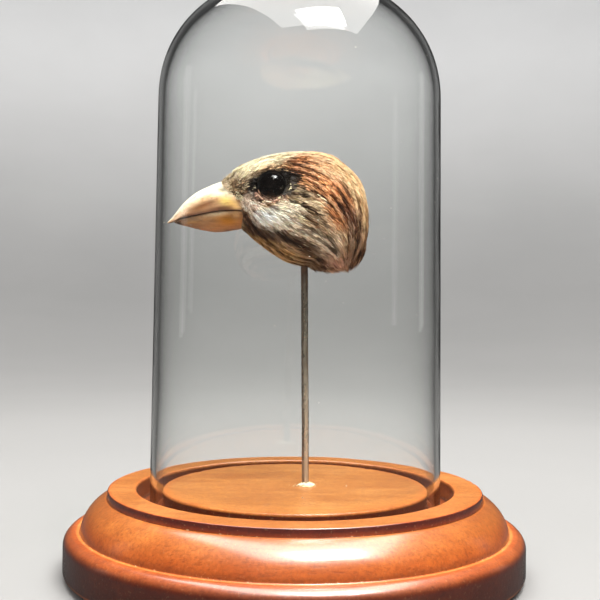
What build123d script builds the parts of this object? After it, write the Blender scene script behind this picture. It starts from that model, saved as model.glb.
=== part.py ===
"""Small glass bell jar on a turned wooden base, showing a songbird head mount on a steel rod.

Frame: origin at the centre of the resting face, +Z up along the dome's axis, the bill points
to -X, so the bird's left is -Y. Sizes are in mm. Heights of the rod and the specimen are
written above the platform's top face, and lifted() adds PLATFORM_Z.
"""
import math
import os

from build123d import *

os.makedirs("parts", exist_ok=True)

# ---------------------------------------------------------------- base and felt
FELT_T = 0.8            # felt under the base
FELT_R = 36.5
WOOD_H = 13.0           # turned base, top of the felt to platform
PLATFORM_Z = FELT_T + WOOD_H
PLATFORM_R = 22.7       # raised disc inside the groove
GROOVE_R = 27.2         # outer wall of the dome groove
GROOVE_D = 3.2
GROOVE_CHAMFER = 0.25   # on both top edges of the groove
RIM_R = 32.0            # flat rim outside the groove
RIM_ARRIS = 0.2
STEP_H = 1.3            # small upright step below the rim
OVOLO_R = 6.5           # quarter round between rim and foot
OVOLO_TOP_R = 32.3      # radius at which it starts, under the step
OVOLO_FOOT_R = 36.35    # radius at which it ends, in the crease
CREASE_Z = -6.25        # bottom of the quarter round, from the platform
CREASE_RUN = 0.1        # short slope from the crease to the flat of the foot
CREASE_DROP = 0.15
FOOT_R = 39.05
FOOT_ROUND = 2.0        # rounded shoulder of the foot
FOOT_ARRIS = 0.6        # eased lower edge

# ---------------------------------------------------------------- glass dome
DOME_R = 25.0           # outside radius at the foot of the glass
DOME_R_TOP = 24.46      # outside radius where the crown starts
DOME_WALL = 1.05
DOME_STRAIGHT = 66.46   # platform to start of crown
DOME_CROWN = 21.03      # height of the crown
DOME_POWER = 2.14       # squareness of the crown, 2 is an ellipse
CROWN_STEPS = 14
CROWN_THICKENING = 1.15 # glass at the apex, as a share of the wall
DOME_LIP_ROUND = 0.45   # rounded lower edges of the glass

# ---------------------------------------------------------------- rod and glue
ROD_R = 0.62
ROD_FOOT = (1.86, 0.0, -8.0)     # ends of the rod axis, from the platform
ROD_HEAD = (0.98, 0.0, 48.0)
ROD_CHAMFER = 0.2
BORE_CLEARANCE = 0.03   # round the rod in the base
BORE_OVERRUN = 0.3      # bore runs past the rod's ends
CUT_OVERRUN = 1.0       # rod-sized cutters run past the rod's ends
GLUE_OFFSET_X = 0.1     # bead's axis from the rod's axis at the platform
GLUE_PROFILE = [        # radius, height above the platform
    (0, 0), (1.55, 0), (1.5, 0.16), (1.2, 0.34), (0.95, 0.62), (0.0, 0.78), (0, 0),
]

# ---------------------------------------------------------------- eyes
SIDES = {"left": -1, "right": 1}   # sign of Y
EYE = (-4.4, 4.75, 51.15)          # centre of the right eye, Y is mirrored for the left
EYE_R = 3.0
EYE_CLEARANCE = 0.02               # between eye and skin
EYE_WIRE_R = 0.25
EYE_WIRE_L = 1.35
EYE_WIRE_DEPTH = 0.9               # length of wire inside the eye
LID_R = 2.2                        # round opening in the skin over the eye
LID_CUT_START = 1.2                # opening is cut outward from here, from the eye's centre
LID_CUT_L = 5.0
CLAY_R = 3.55
CLAY_BOX = (9, 4.6, 9)             # block that the clay is kept within
CLAY_BOX_INSET = 2.2               # its centre, inward from the eye's centre

# ---------------------------------------------------------------- head
SKIN_T = 1.5
SKIN_FRONT_T = 0.55     # skin at the frontmost ring
SKIN_ROD_CLEARANCE = 0.05
SKIN_ROD_CUT = (30, 20) # start along the rod, length
RING_POINTS = 20
HEAD_POWER = 2.15       # squareness of the head's rings, 2 is an ellipse
HEAD_BELLY = 0.12
HEAD = [  # top (x, z), bottom (x, z), half width; front to back
    ((-13.9, 52.55), (-10.1, 44.35), 4.15),
    ((-12.4, 54.0), (-9.3, 43.8), 5.0),
    ((-10.6, 55.5), (-7.9, 42.5), 5.95),
    ((-8.4, 56.45), (-6.2, 41.2), 6.75),
    ((-5.6, 57.4), (-4.2, 39.8), 7.5),
    ((-2.6, 58.0), (-2.0, 38.6), 8.3),
    ((0.6, 58.2), (0.4, 38.0), 8.95),
    ((3.6, 58.1), (2.9, 37.6), 9.25),
    ((6.1, 57.4), (5.2, 37.3), 9.1),
    ((8.5, 55.7), (7.6, 37.4), 8.5),
    ((10.4, 53.8), (9.4, 37.9), 7.3),
    ((11.5, 51.9), (10.7, 38.8), 5.7),
    ((12.15, 49.3), (11.7, 40.4), 3.7),
    ((12.45, 47.0), (12.3, 43.2), 1.6),
    ((12.52, 45.6), (12.5, 44.8), 0.4),
]
CAVITY_LAST = 10        # HEAD row of the last ring parallel to the skin
CAVITY_END = [  # closing rings, from that ring: top (dx, dz), bottom (dx, dz), half width change
    ((0.5, -1.6), (0.6, 1.3), -1.6),
    ((0.75, -3.8), (0.85, 3.4), -3.6),
]

BEAK_POINTS = 9         # points across each arch
BEAK_NARROWING = 0.14   # how far the arch is drawn in towards its ridge
BEAK_ARCH_POWER = 0.85
UPPER_HOLLOW = 0.14     # hollow of the cutting face, share of the smaller of width and height
LOWER_HOLLOW = -0.1     # negative is downward
UPPER_BEAK = [  # x, culmen z, cutting edge z, half width
    (-9.9, 52.9, 47.2, 4.05),
    (-11.6, 53.05, 47.27, 4.0),
    (-13.2, 52.75, 47.25, 3.8),
    (-14.9, 52.2, 47.02, 3.45),
    (-16.5, 51.5, 46.74, 2.98),
    (-18.0, 50.7, 46.5, 2.42),
    (-19.4, 49.6, 46.28, 1.82),
    (-20.7, 48.3, 46.05, 1.22),
    (-21.8, 47.0, 45.68, 0.72),
    (-22.8, 46.0, 45.42, 0.34),
    (-23.36, 45.48, 45.32, 0.1),
]
LOWER_BEAK = [  # x, gonys z, cutting edge z, half width
    (-9.9, 44.45, 47.08, 3.8),
    (-11.6, 44.15, 47.15, 3.75),
    (-13.2, 43.9, 47.13, 3.55),
    (-14.9, 43.85, 46.9, 3.18),
    (-16.5, 44.1, 46.62, 2.7),
    (-18.0, 44.4, 46.38, 2.12),
    (-19.4, 44.74, 46.15, 1.5),
    (-20.7, 45.04, 45.88, 0.9),
    (-21.5, 45.27, 45.62, 0.4),
    (-21.85, 45.38, 45.48, 0.12),
]

SKULL = [  # top (x, z), bottom (x, z), half width; front to back
    ((-9.86, 51.6), (-9.86, 46.1), 3.1),
    ((-8.6, 53.4), (-8.3, 45.6), 3.9),
    ((-6.6, 54.7), (-6.4, 45.2), 4.7),
    ((-4.2, 55.4), (-4.0, 44.8), 5.3),
    ((-1.4, 55.9), (-1.4, 44.4), 6.1),
    ((1.6, 56.1), (1.6, 44.0), 6.7),
    ((4.4, 55.6), (4.4, 44.0), 6.6),
    ((6.6, 54.4), (6.6, 44.6), 5.7),
    ((8.2, 52.6), (8.2, 46.0), 4.0),
    ((9.0, 50.8), (9.0, 48.0), 1.6),
]
FILLER_CENTRE = (2.6, 0, 49.6)
FILLER_RADII = (5.0, 5.1, 4.7)
PLUG_R = 2.5
PLUG_START = 47.9       # along the rod
PLUG_L = 5.2
STUFFING_CLEARANCE = 0.04          # between stuffing and skin
STUFFING_BOX = (40, 30, 17.0)      # block that the stuffing is kept within
STUFFING_BOX_CENTRE = (1.0, 0, 38.0)


# ---------------------------------------------------------------- helpers
def lifted(point):
    """A point given from the platform, in the model's frame."""
    return Vector(point[0], point[1], point[2] + PLATFORM_Z)


def save(shape, name):
    """Export the largest solid, leaving out crumbs from booleans."""
    solid = max(shape.solids(), key=lambda s: s.volume)
    solid.label = name
    export_step(solid, f"parts/{name}.step")


def turned(draw_profile):
    with BuildPart() as part:
        with BuildSketch(Plane.XZ):
            with BuildLine():
                draw_profile()
            make_face()
        revolve(axis=Axis.Z)
    return part.part


def quarter_arc(start, centre, end):
    middle = [c + (s + e - 2 * c) * math.cos(math.pi / 4) for s, c, e in zip(start, centre, end)]
    ThreePointArc(start, tuple(middle), end)


def ring(top, bottom, half_width, power, belly):
    """Closed ring of points between a top and a bottom (x, z), half_width along Y.
    belly moves the widest place towards the bottom, as a share of the half height."""
    mid_x, mid_z = (top[0] + bottom[0]) / 2, (top[1] + bottom[1]) / 2
    half_x, half_z = (top[0] - bottom[0]) / 2, (top[1] - bottom[1]) / 2
    points = []
    for i in range(RING_POINTS):
        angle = 2 * math.pi * i / RING_POINTS
        cos, sin = math.cos(angle), math.sin(angle)
        rise = math.copysign(abs(cos) ** (2 / power), cos)
        across = math.copysign(abs(sin) ** (2 / power), sin)
        rise -= belly * (1 - rise * rise)
        points.append(lifted((mid_x + half_x * rise, half_width * across, mid_z + half_z * rise)))
    return points


def ring_solid(rows, power=2.0, belly=0.0):
    rings = [ring(*row, power, belly) for row in rows]
    return Solid.make_loft([Wire([Edge.make_spline(r, periodic=True)]) for r in rings])


def head_solid(rows):
    return ring_solid(rows, HEAD_POWER, HEAD_BELLY)


def shrunk(row, inset):
    """A ring's row drawn in by inset at top, bottom and sides."""
    top, bottom, half_width = row
    run_x, run_z = top[0] - bottom[0], top[1] - bottom[1]
    share = inset / math.hypot(run_x, run_z)
    return (
        (top[0] - run_x * share, top[1] - run_z * share),
        (bottom[0] + run_x * share, bottom[1] + run_z * share),
        half_width - inset,
    )


rod_start, rod_end = lifted(ROD_FOOT), lifted(ROD_HEAD)
rod_dir = (rod_end - rod_start).normalized()
rod_len = (rod_end - rod_start).length


def along_rod(radius, start, length):
    plane = Plane(origin=rod_start + rod_dir * start, z_dir=rod_dir)
    return Solid.make_cylinder(radius, length, plane)


def beside_eye(side, outward=0.0):
    """The centre of an eye, moved outward along Y."""
    return lifted((EYE[0], side * EYE[1], EYE[2])) + Vector(0, side * outward, 0)


def eye_sphere(side, radius):
    return Pos(beside_eye(side)) * Sphere(radius)


# ---------------------------------------------------------------- turned base, felt and rod
def base_profile():
    top = PLATFORM_Z
    Polyline(
        (0, FELT_T), (0, top),
        (PLATFORM_R - GROOVE_CHAMFER, top), (PLATFORM_R, top - GROOVE_CHAMFER),
        (PLATFORM_R, top - GROOVE_D), (GROOVE_R, top - GROOVE_D),
        (GROOVE_R, top - GROOVE_CHAMFER), (GROOVE_R + GROOVE_CHAMFER, top),
        (RIM_R - RIM_ARRIS, top),
    )
    RadiusArc((RIM_R - RIM_ARRIS, top), (RIM_R, top - RIM_ARRIS), RIM_ARRIS)
    step_z = top - STEP_H
    Line((RIM_R, top - RIM_ARRIS), (RIM_R, step_z))
    Line((RIM_R, step_z), (OVOLO_TOP_R, step_z))

    # quarter round, bulging out from its chord
    crease_z = top + CREASE_Z
    run, drop = OVOLO_FOOT_R - OVOLO_TOP_R, step_z - crease_z
    chord = math.hypot(run, drop)
    bulge = OVOLO_R - math.sqrt(OVOLO_R**2 - chord**2 / 4)
    middle = (
        (OVOLO_TOP_R + OVOLO_FOOT_R) / 2 + bulge * drop / chord,
        (step_z + crease_z) / 2 + bulge * run / chord,
    )
    ThreePointArc((OVOLO_TOP_R, step_z), middle, (OVOLO_FOOT_R, crease_z))

    foot_z = crease_z - CREASE_DROP
    shoulder_r, shoulder_z = FOOT_R - FOOT_ROUND, foot_z - FOOT_ROUND
    arris_r, arris_z = FOOT_R - FOOT_ARRIS, FELT_T + FOOT_ARRIS
    Line((OVOLO_FOOT_R, crease_z), (OVOLO_FOOT_R + CREASE_RUN, foot_z))
    Line((OVOLO_FOOT_R + CREASE_RUN, foot_z), (shoulder_r, foot_z))
    quarter_arc((shoulder_r, foot_z), (shoulder_r, shoulder_z), (FOOT_R, shoulder_z))
    Line((FOOT_R, shoulder_z), (FOOT_R, arris_z))
    quarter_arc((FOOT_R, arris_z), (arris_r, arris_z), (arris_r, FELT_T))
    Line((arris_r, FELT_T), (0, FELT_T))


rod_bore = along_rod(ROD_R + BORE_CLEARANCE, -BORE_OVERRUN, rod_len + 2 * BORE_OVERRUN)
save(turned(base_profile) - rod_bore, "base")
save(Cylinder(FELT_R, FELT_T, align=(Align.CENTER, Align.CENTER, Align.MIN)), "base_felt")

rod = along_rod(ROD_R, 0.0, rod_len)
rod = rod.chamfer(ROD_CHAMFER, None, rod.edges().filter_by(GeomType.CIRCLE))
save(rod, "rod")

# ---------------------------------------------------------------- bead of glue round the rod
rod_share = (0 - ROD_FOOT[2]) / (ROD_HEAD[2] - ROD_FOOT[2])   # of its height, at the platform
glue_x = ROD_FOOT[0] + (ROD_HEAD[0] - ROD_FOOT[0]) * rod_share + GLUE_OFFSET_X
glue = Pos(glue_x, 0, PLATFORM_Z) * turned(lambda: Polyline(*GLUE_PROFILE))
save(glue - along_rod(ROD_R, -CUT_OVERRUN, rod_len + 2 * CUT_OVERRUN), "rod_glue")


# ---------------------------------------------------------------- glass dome
def crown(radius, height):
    """Quarter of a superellipse from the top of the wall to the apex."""
    start_z = PLATFORM_Z + DOME_STRAIGHT
    points = []
    for i in range(CROWN_STEPS):
        angle = math.pi / 2 * i / CROWN_STEPS
        r = radius * math.cos(angle) ** (2 / DOME_POWER)
        points.append((r, start_z + height * math.sin(angle) ** (2 / DOME_POWER)))
    return points + [(0.0, start_z + height)]


def dome_profile():
    foot_z = PLATFORM_Z - GROOVE_D
    lip_z = foot_z + DOME_LIP_ROUND
    inner_r = DOME_R - DOME_WALL
    lip_inner_r, lip_outer_r = inner_r + DOME_LIP_ROUND, DOME_R - DOME_LIP_ROUND
    taper, wall_h = DOME_R - DOME_R_TOP, DOME_STRAIGHT + GROOVE_D
    outer = crown(DOME_R_TOP, DOME_CROWN)
    inner = crown(DOME_R_TOP - DOME_WALL, DOME_CROWN - DOME_WALL * CROWN_THICKENING)
    Spline(outer, tangents=[(-taper, wall_h), (-1, 0)])
    Line(outer[-1], inner[-1])
    Spline(list(reversed(inner)), tangents=[(1, 0), (taper, -wall_h)])
    Line(inner[0], (inner_r, lip_z))
    quarter_arc((inner_r, lip_z), (lip_inner_r, lip_z), (lip_inner_r, foot_z))
    Line((lip_inner_r, foot_z), (lip_outer_r, foot_z))
    quarter_arc((lip_outer_r, foot_z), (lip_outer_r, lip_z), (DOME_R, lip_z))
    Line((DOME_R, lip_z), outer[0])


save(turned(dome_profile), "glass_dome")


# ---------------------------------------------------------------- beak
def beak_solid(rows, hollow):
    wires = []
    for x, ridge_z, edge_z, half_width in rows:
        height = ridge_z - edge_z
        arch = []
        for i in range(BEAK_POINTS):
            angle = math.pi * i / (BEAK_POINTS - 1)
            sin = math.sin(angle)
            y = -half_width * math.cos(angle) * (1 - BEAK_NARROWING * sin)
            arch.append(lifted((x, y, edge_z + height * sin ** BEAK_ARCH_POWER)))
        arch[0], arch[-1] = lifted((x, -half_width, edge_z)), lifted((x, half_width, edge_z))
        middle = lifted((x, 0, edge_z + hollow * min(half_width, abs(height))))
        cutting_face = Edge.make_three_point_arc(arch[-1], middle, arch[0])
        wires.append(Wire([Edge.make_spline(arch), cutting_face]))
    return Solid.make_loft(wires)


upper_beak = beak_solid(UPPER_BEAK, UPPER_HOLLOW)
lower_beak = beak_solid(LOWER_BEAK, LOWER_HOLLOW)
save(upper_beak, "upper_beak")
save(lower_beak, "lower_beak")

# ---------------------------------------------------------------- head form and its cavity
head_outer = head_solid(HEAD)

cavity_rows = [shrunk(HEAD[0], SKIN_FRONT_T)]
cavity_rows += [shrunk(row, SKIN_T) for row in HEAD[2:CAVITY_LAST + 1]]
last_top, last_bottom, last_width = cavity_rows[-1]
for top_move, bottom_move, width_change in CAVITY_END:
    cavity_rows.append((
        (last_top[0] + top_move[0], last_top[1] + top_move[1]),
        (last_bottom[0] + bottom_move[0], last_bottom[1] + bottom_move[1]),
        last_width + width_change,
    ))
head_cavity = head_solid(cavity_rows)

# ---------------------------------------------------------------- eyes, their wires and bedding clay
for label, side in SIDES.items():
    wire_start = beside_eye(side, EYE_WIRE_DEPTH - EYE_R)
    wire_plane = Plane(origin=wire_start, z_dir=(0, -side, 0))
    eye_wire = Solid.make_cylinder(EYE_WIRE_R, EYE_WIRE_L, wire_plane)
    clay_block = Pos(beside_eye(side, -CLAY_BOX_INSET)) * Box(*CLAY_BOX)
    clay = eye_sphere(side, CLAY_R) & clay_block & head_cavity
    save(eye_sphere(side, EYE_R) - eye_wire, f"eye_{label}")
    save(eye_wire, f"eye_wire_{label}")
    save(clay - eye_sphere(side, EYE_R) - eye_wire, f"eye_clay_{label}")

# ---------------------------------------------------------------- skull, its filling and neck plug
skull_outer = ring_solid(SKULL)
filler = Pos(lifted(FILLER_CENTRE)) * scale(Sphere(1), by=FILLER_RADII)
plug = along_rod(PLUG_R, PLUG_START, PLUG_L)   # balsa, pushed up into the skull's underside
rod_room = along_rod(ROD_R, -CUT_OVERRUN, rod_len + CUT_OVERRUN)

skull = skull_outer - filler - plug - rod_room
for side in SIDES.values():
    skull = skull - eye_sphere(side, CLAY_R)
save(skull, "skull")
save(filler - plug - rod_room, "skull_filler")
save(plug - rod_room, "neck_plug")

# ---------------------------------------------------------------- feathered skin, a shell round the skull
skin = head_outer - head_cavity - along_rod(ROD_R + SKIN_ROD_CLEARANCE, *SKIN_ROD_CUT)
for side in SIDES.values():
    skin = skin - eye_sphere(side, EYE_R + EYE_CLEARANCE)
    lid_plane = Plane(origin=beside_eye(side, LID_CUT_START), z_dir=(0, side, 0))
    skin = skin - Solid.make_cylinder(LID_R, LID_CUT_L, lid_plane)
save(skin - upper_beak - lower_beak, "head_skin")

# ---------------------------------------------------------------- tow packed round the skull's lower part
stuffing_block = Pos(lifted(STUFFING_BOX_CENTRE)) * Box(*STUFFING_BOX)
stuffing_rows = [shrunk(row, SKIN_T + STUFFING_CLEARANCE) for row in HEAD[3:CAVITY_LAST + 1]]
stuffing = (head_solid(stuffing_rows) & stuffing_block) - skull_outer - plug - rod_room
for side in SIDES.values():
    stuffing = stuffing - eye_sphere(side, CLAY_R)
save(stuffing, "neck_stuffing")
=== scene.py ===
"""A small bird's head on a rod, on a turned wooden base under a blown glass dome.

Sizes are in millimetres and turned into metres as meshes are made. Z = 0 is the top of the
base's platform, TOP above the resting face. The dome and the base turn about the Z axis. The
bill points along -X, and the camera looks along +Y from the -Y side.
"""
import math
from functools import partial

import bpy
import numpy as np
from mathutils import Matrix, Vector, noise
from mathutils.bvhtree import BVHTree

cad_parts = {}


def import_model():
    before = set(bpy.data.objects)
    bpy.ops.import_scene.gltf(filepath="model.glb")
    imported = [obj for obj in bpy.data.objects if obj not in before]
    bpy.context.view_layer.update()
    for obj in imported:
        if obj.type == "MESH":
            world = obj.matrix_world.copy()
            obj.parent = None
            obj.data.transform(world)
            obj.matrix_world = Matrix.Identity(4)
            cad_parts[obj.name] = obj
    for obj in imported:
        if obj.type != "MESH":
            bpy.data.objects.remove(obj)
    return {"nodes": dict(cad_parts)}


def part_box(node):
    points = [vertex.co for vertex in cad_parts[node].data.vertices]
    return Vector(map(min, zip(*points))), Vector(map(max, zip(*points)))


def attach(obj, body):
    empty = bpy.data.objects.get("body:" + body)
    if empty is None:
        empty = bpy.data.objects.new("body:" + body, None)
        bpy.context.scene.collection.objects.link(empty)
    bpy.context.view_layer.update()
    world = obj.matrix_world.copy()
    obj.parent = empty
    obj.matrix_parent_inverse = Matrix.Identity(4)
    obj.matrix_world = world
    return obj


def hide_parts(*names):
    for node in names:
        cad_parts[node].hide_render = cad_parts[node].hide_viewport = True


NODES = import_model()["nodes"]
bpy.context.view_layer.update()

MM = 0.001
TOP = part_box("base")[1].z / MM    # platform height above the resting face
RNG = np.random.default_rng(20761)    # shared by all the feathers, in the order they are made

# Turned base
FELT_T = 0.8
GROOVE_DEPTH = 3.2
STEP_H = 1.3
PLATFORM_R = 22.7
GROOVE_R = 27.2
RIM_R = 32.0
FOOT_R = 39.05
OVOLO_TOP_R = 32.3
OVOLO_FOOT_R = 36.35
OVOLO_ROUND = 6.5
CREASE_Z = -6.25
FOOT_ROUND = 2.0
FOOT_ARRIS = 0.6
BOTTOM = -TOP + FELT_T

# Glass dome
DOME_FOOT_R = 25.0
DOME_SHOULDER_R = 24.46
DOME_WALL = 1.05
DOME_STRAIGHT = 66.46    # height of the shoulder, where the crown starts
DOME_CROWN = 21.03
DOME_POWER = 2.14    # exponent of the crown's superellipse
DOME_LIP = 0.5

# Head
BELLY = 0.12    # how far the widest line sinks below mid height
SECTION_POWER = 2.15
SKIN_INSET = 0.42    # the skin lies this far under the feathers
EYE = np.array([-4.4, 4.75, 51.15])    # the eye on the +Y side; the other mirrors it
EYE_R = 3.0


# =============================================================== helpers
def srgb(*display):
    """Display colour, 0 to 255, as linear light."""
    shares = [channel / 255.0 for channel in display]
    return np.array([s / 12.92 if s <= 0.04045 else ((s + 0.055) / 1.055) ** 2.4 for s in shares])


def rgba(*display):
    return (*srgb(*display), 1.0)


def smooth01(x):
    x = np.clip(x, 0.0, 1.0)
    return x * x * (3 - 2 * x)


def blend(first, second, share):
    return np.array(first) * (1 - share) + np.array(second) * share


def unit(vectors):
    return vectors / (np.linalg.norm(vectors, axis=-1, keepdims=True) + 1e-9)


def ring_noise(angle, spread, height):
    """Noise on a circle of radius spread, so that it closes on itself."""
    return noise.noise(Vector((math.cos(angle) * spread, math.sin(angle) * spread, height)))


def noise_at(points):
    return np.array([noise.noise(Vector(point)) for point in points])


def signed_volume(points, faces):
    """Six times the volume inside the triangles and quads, negative when they face inwards."""
    total = 0.0
    for size in (3, 4):
        same = np.array([face for face in faces if len(face) == size])
        if len(same):
            for i, j in ((1, 2), (2, 3))[: size - 2]:
                normal = np.cross(points[same[:, 0]], points[same[:, i]])
                total += float((normal * points[same[:, j]]).sum())
    return total


def add_mesh(name, points, faces, material, sharp=None, colours=None, dust=None):
    """A smooth mesh from millimetre points. sharp is the angle that makes an edge hard."""
    mesh = bpy.data.meshes.new(name)
    mesh.from_pydata((points * MM).tolist(), [], faces)
    mesh.validate(clean_customdata=False)
    mesh.update()
    mesh.polygons.foreach_set("use_smooth", np.ones(len(mesh.polygons), bool))
    if sharp is not None:
        mesh.set_sharp_from_angle(angle=math.radians(sharp))
    if colours is not None:
        values = np.ones((len(mesh.vertices), 4), np.float32)
        values[:, :3] = colours
        layer = mesh.color_attributes.new("Col", "FLOAT_COLOR", "POINT")
        layer.data.foreach_set("color", values.ravel())
    if dust is not None:
        layer = mesh.attributes.new("dust", "FLOAT", "POINT")
        layer.data.foreach_set("value", np.asarray(dust, np.float32))
    piece = bpy.data.objects.new(name, mesh)
    bpy.context.scene.collection.objects.link(piece)
    mesh.materials.append(material)
    return piece


def add_piece(name, points, faces, material, slot, replaces, body="base_body", lift=TOP, **looks):
    """A mesh that stands in for a CAD piece, its faces turned outwards."""
    points = np.asarray(points, float) + (0, 0, lift)
    if signed_volume(points, faces) < 0:
        faces = [tuple(face)[::-1] for face in faces]
    piece = add_mesh(name, points, faces, material, **looks)
    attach(piece, body)
    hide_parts(replaces)


def arc(mid_r, mid_z, radius, start, end, steps):
    angles = [math.radians(start + (end - start) * i / steps) for i in range(steps + 1)]
    return [(mid_r + radius * math.cos(a), mid_z + radius * math.sin(a)) for a in angles]


def level(z, start_r, end_r, count):
    return [(r, z) for r in np.linspace(start_r, end_r, count)]


def upright(radius, start_z, end_z, count):
    return [(radius, z) for z in np.linspace(start_z, end_z, count)]


def lathe(profile, segments, wobble=None, closed=True):
    """Points, faces and rows of point numbers of an outline (radius, z) turned about Z.

    A point on the axis becomes one vertex. wobble(radius, z, angle, index) moves the others.
    """
    points, faces, rows = [], [], []
    for index, (radius, z) in enumerate(profile):
        if radius < 1e-9:
            rows.append([len(points)] * segments)
            points.append((0, 0, z))
            continue
        rows.append(list(range(len(points), len(points) + segments)))
        for step in range(segments):
            angle = 2 * math.pi * step / segments
            new_r, new_z = wobble(radius, z, angle, index) if wobble else (radius, z)
            points.append((new_r * math.cos(angle), new_r * math.sin(angle), new_z))
    following = rows[1:] + rows[:1] if closed else rows[1:]
    for row, after in zip(rows, following):
        row_on_axis = row[0] == row[1]
        after_on_axis = after[0] == after[1]
        if row_on_axis and after_on_axis:
            continue
        for k in range(segments):
            k2 = (k + 1) % segments
            if row_on_axis:
                faces.append((row[0], after[k2], after[k]))
            elif after_on_axis:
                faces.append((row[k], row[k2], after[0]))
            else:
                faces.append((row[k], row[k2], after[k2], after[k]))
    return np.array(points), faces, rows


# =============================================================== shader builder
class Shader:
    """Adds nodes to the tree of a material or world; most methods return an output socket."""

    def __init__(self, owner, spare=0.0):
        owner.use_nodes = True
        self.owner = owner
        self.tree = owner.node_tree
        self.spare = spare    # value on the unused third input of Math nodes

    def node(self, kind, inputs=None, **settings):
        node = self.tree.nodes.new("ShaderNode" + kind)
        for key, value in settings.items():
            setattr(node, key, value)
        for key, value in (inputs or {}).items():
            if isinstance(value, bpy.types.NodeSocket):
                self.tree.links.new(value, node.inputs[key])
            else:
                node.inputs[key].default_value = value
        return node

    def coords(self, stretch=(1, 1, 1), turn=(0, 0, 0)):
        inputs = {"Vector": self.node("TexCoord").outputs["Object"], "Rotation": turn}
        return self.node("Mapping", {**inputs, "Scale": stretch}).outputs[0]

    def noise(self, vector=None, *, scale, detail, rough, distortion=0.0, **mapping):
        vector = self.coords(**mapping) if vector is None else vector
        return self.node("TexNoise", {
            "Vector": vector, "Scale": scale, "Detail": detail, "Roughness": rough,
            "Distortion": distortion}).outputs[0]

    def attribute(self, name, output="Color"):
        node = self.node("Attribute", attribute_name=name, attribute_type="GEOMETRY")
        return node.outputs[output]

    def ramp(self, fac, *stops):
        """Each stop is a position and a colour, or a number for a grey."""
        node = self.node("ValToRGB", {"Fac": fac})
        elements = node.color_ramp.elements
        while len(elements) < len(stops):
            elements.new(0.5)
        for element, (position, colour) in zip(elements, stops):
            element.position = position
            element.color = colour if isinstance(colour, tuple) else (colour,) * 3 + (1.0,)
        return node.outputs[0]

    def math(self, operation, first, second, clamp=False):
        inputs = {0: first, 1: second, 2: self.spare}
        return self.node("Math", inputs, operation=operation, use_clamp=clamp).outputs[0]

    def add(self, first, second, **options):
        return self.math("ADD", first, second, **options)

    def subtract(self, first, second):
        return self.math("SUBTRACT", first, second)

    def multiply(self, first, second, **options):
        return self.math("MULTIPLY", first, second, **options)

    def mix(self, fac, first, second, mode="MIX"):
        inputs = {0: fac, 6: first, 7: second}
        return self.node("Mix", inputs, data_type="RGBA", blend_type=mode).outputs[2]

    def fade(self, value, start, end, to=(0.0, 1.0), kind="SMOOTHSTEP"):
        inputs = {"Value": value, "From Min": start, "From Max": end}
        inputs.update({"To Min": to[0], "To Max": to[1]})
        return self.node("MapRange", inputs, interpolation_type=kind).outputs[0]

    def axis(self, vector, index):
        return self.node("SeparateXYZ", {0: vector}).outputs[index]

    def geometry(self, output):
        return self.node("NewGeometry").outputs[output]

    def bump(self, height, strength, distance, normal=None):
        inputs = {"Height": height, "Strength": strength, "Distance": distance}
        if normal is not None:
            inputs["Normal"] = normal
        return self.node("Bump", inputs).outputs[0]

    def principled(self, **inputs):
        inputs = {key.replace("_", " "): value for key, value in inputs.items()}
        return self.node("BsdfPrincipled", inputs).outputs[0]


class Material(Shader):
    def __init__(self, name):
        super().__init__(bpy.data.materials.new(name))
        self.tree.nodes.clear()
        self.output = self.node("OutputMaterial")

    def surface(self, socket):
        self.tree.links.new(socket, self.output.inputs["Surface"])
        return self.owner

    def surface_principled(self, **inputs):
        return self.surface(self.principled(**inputs))


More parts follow.
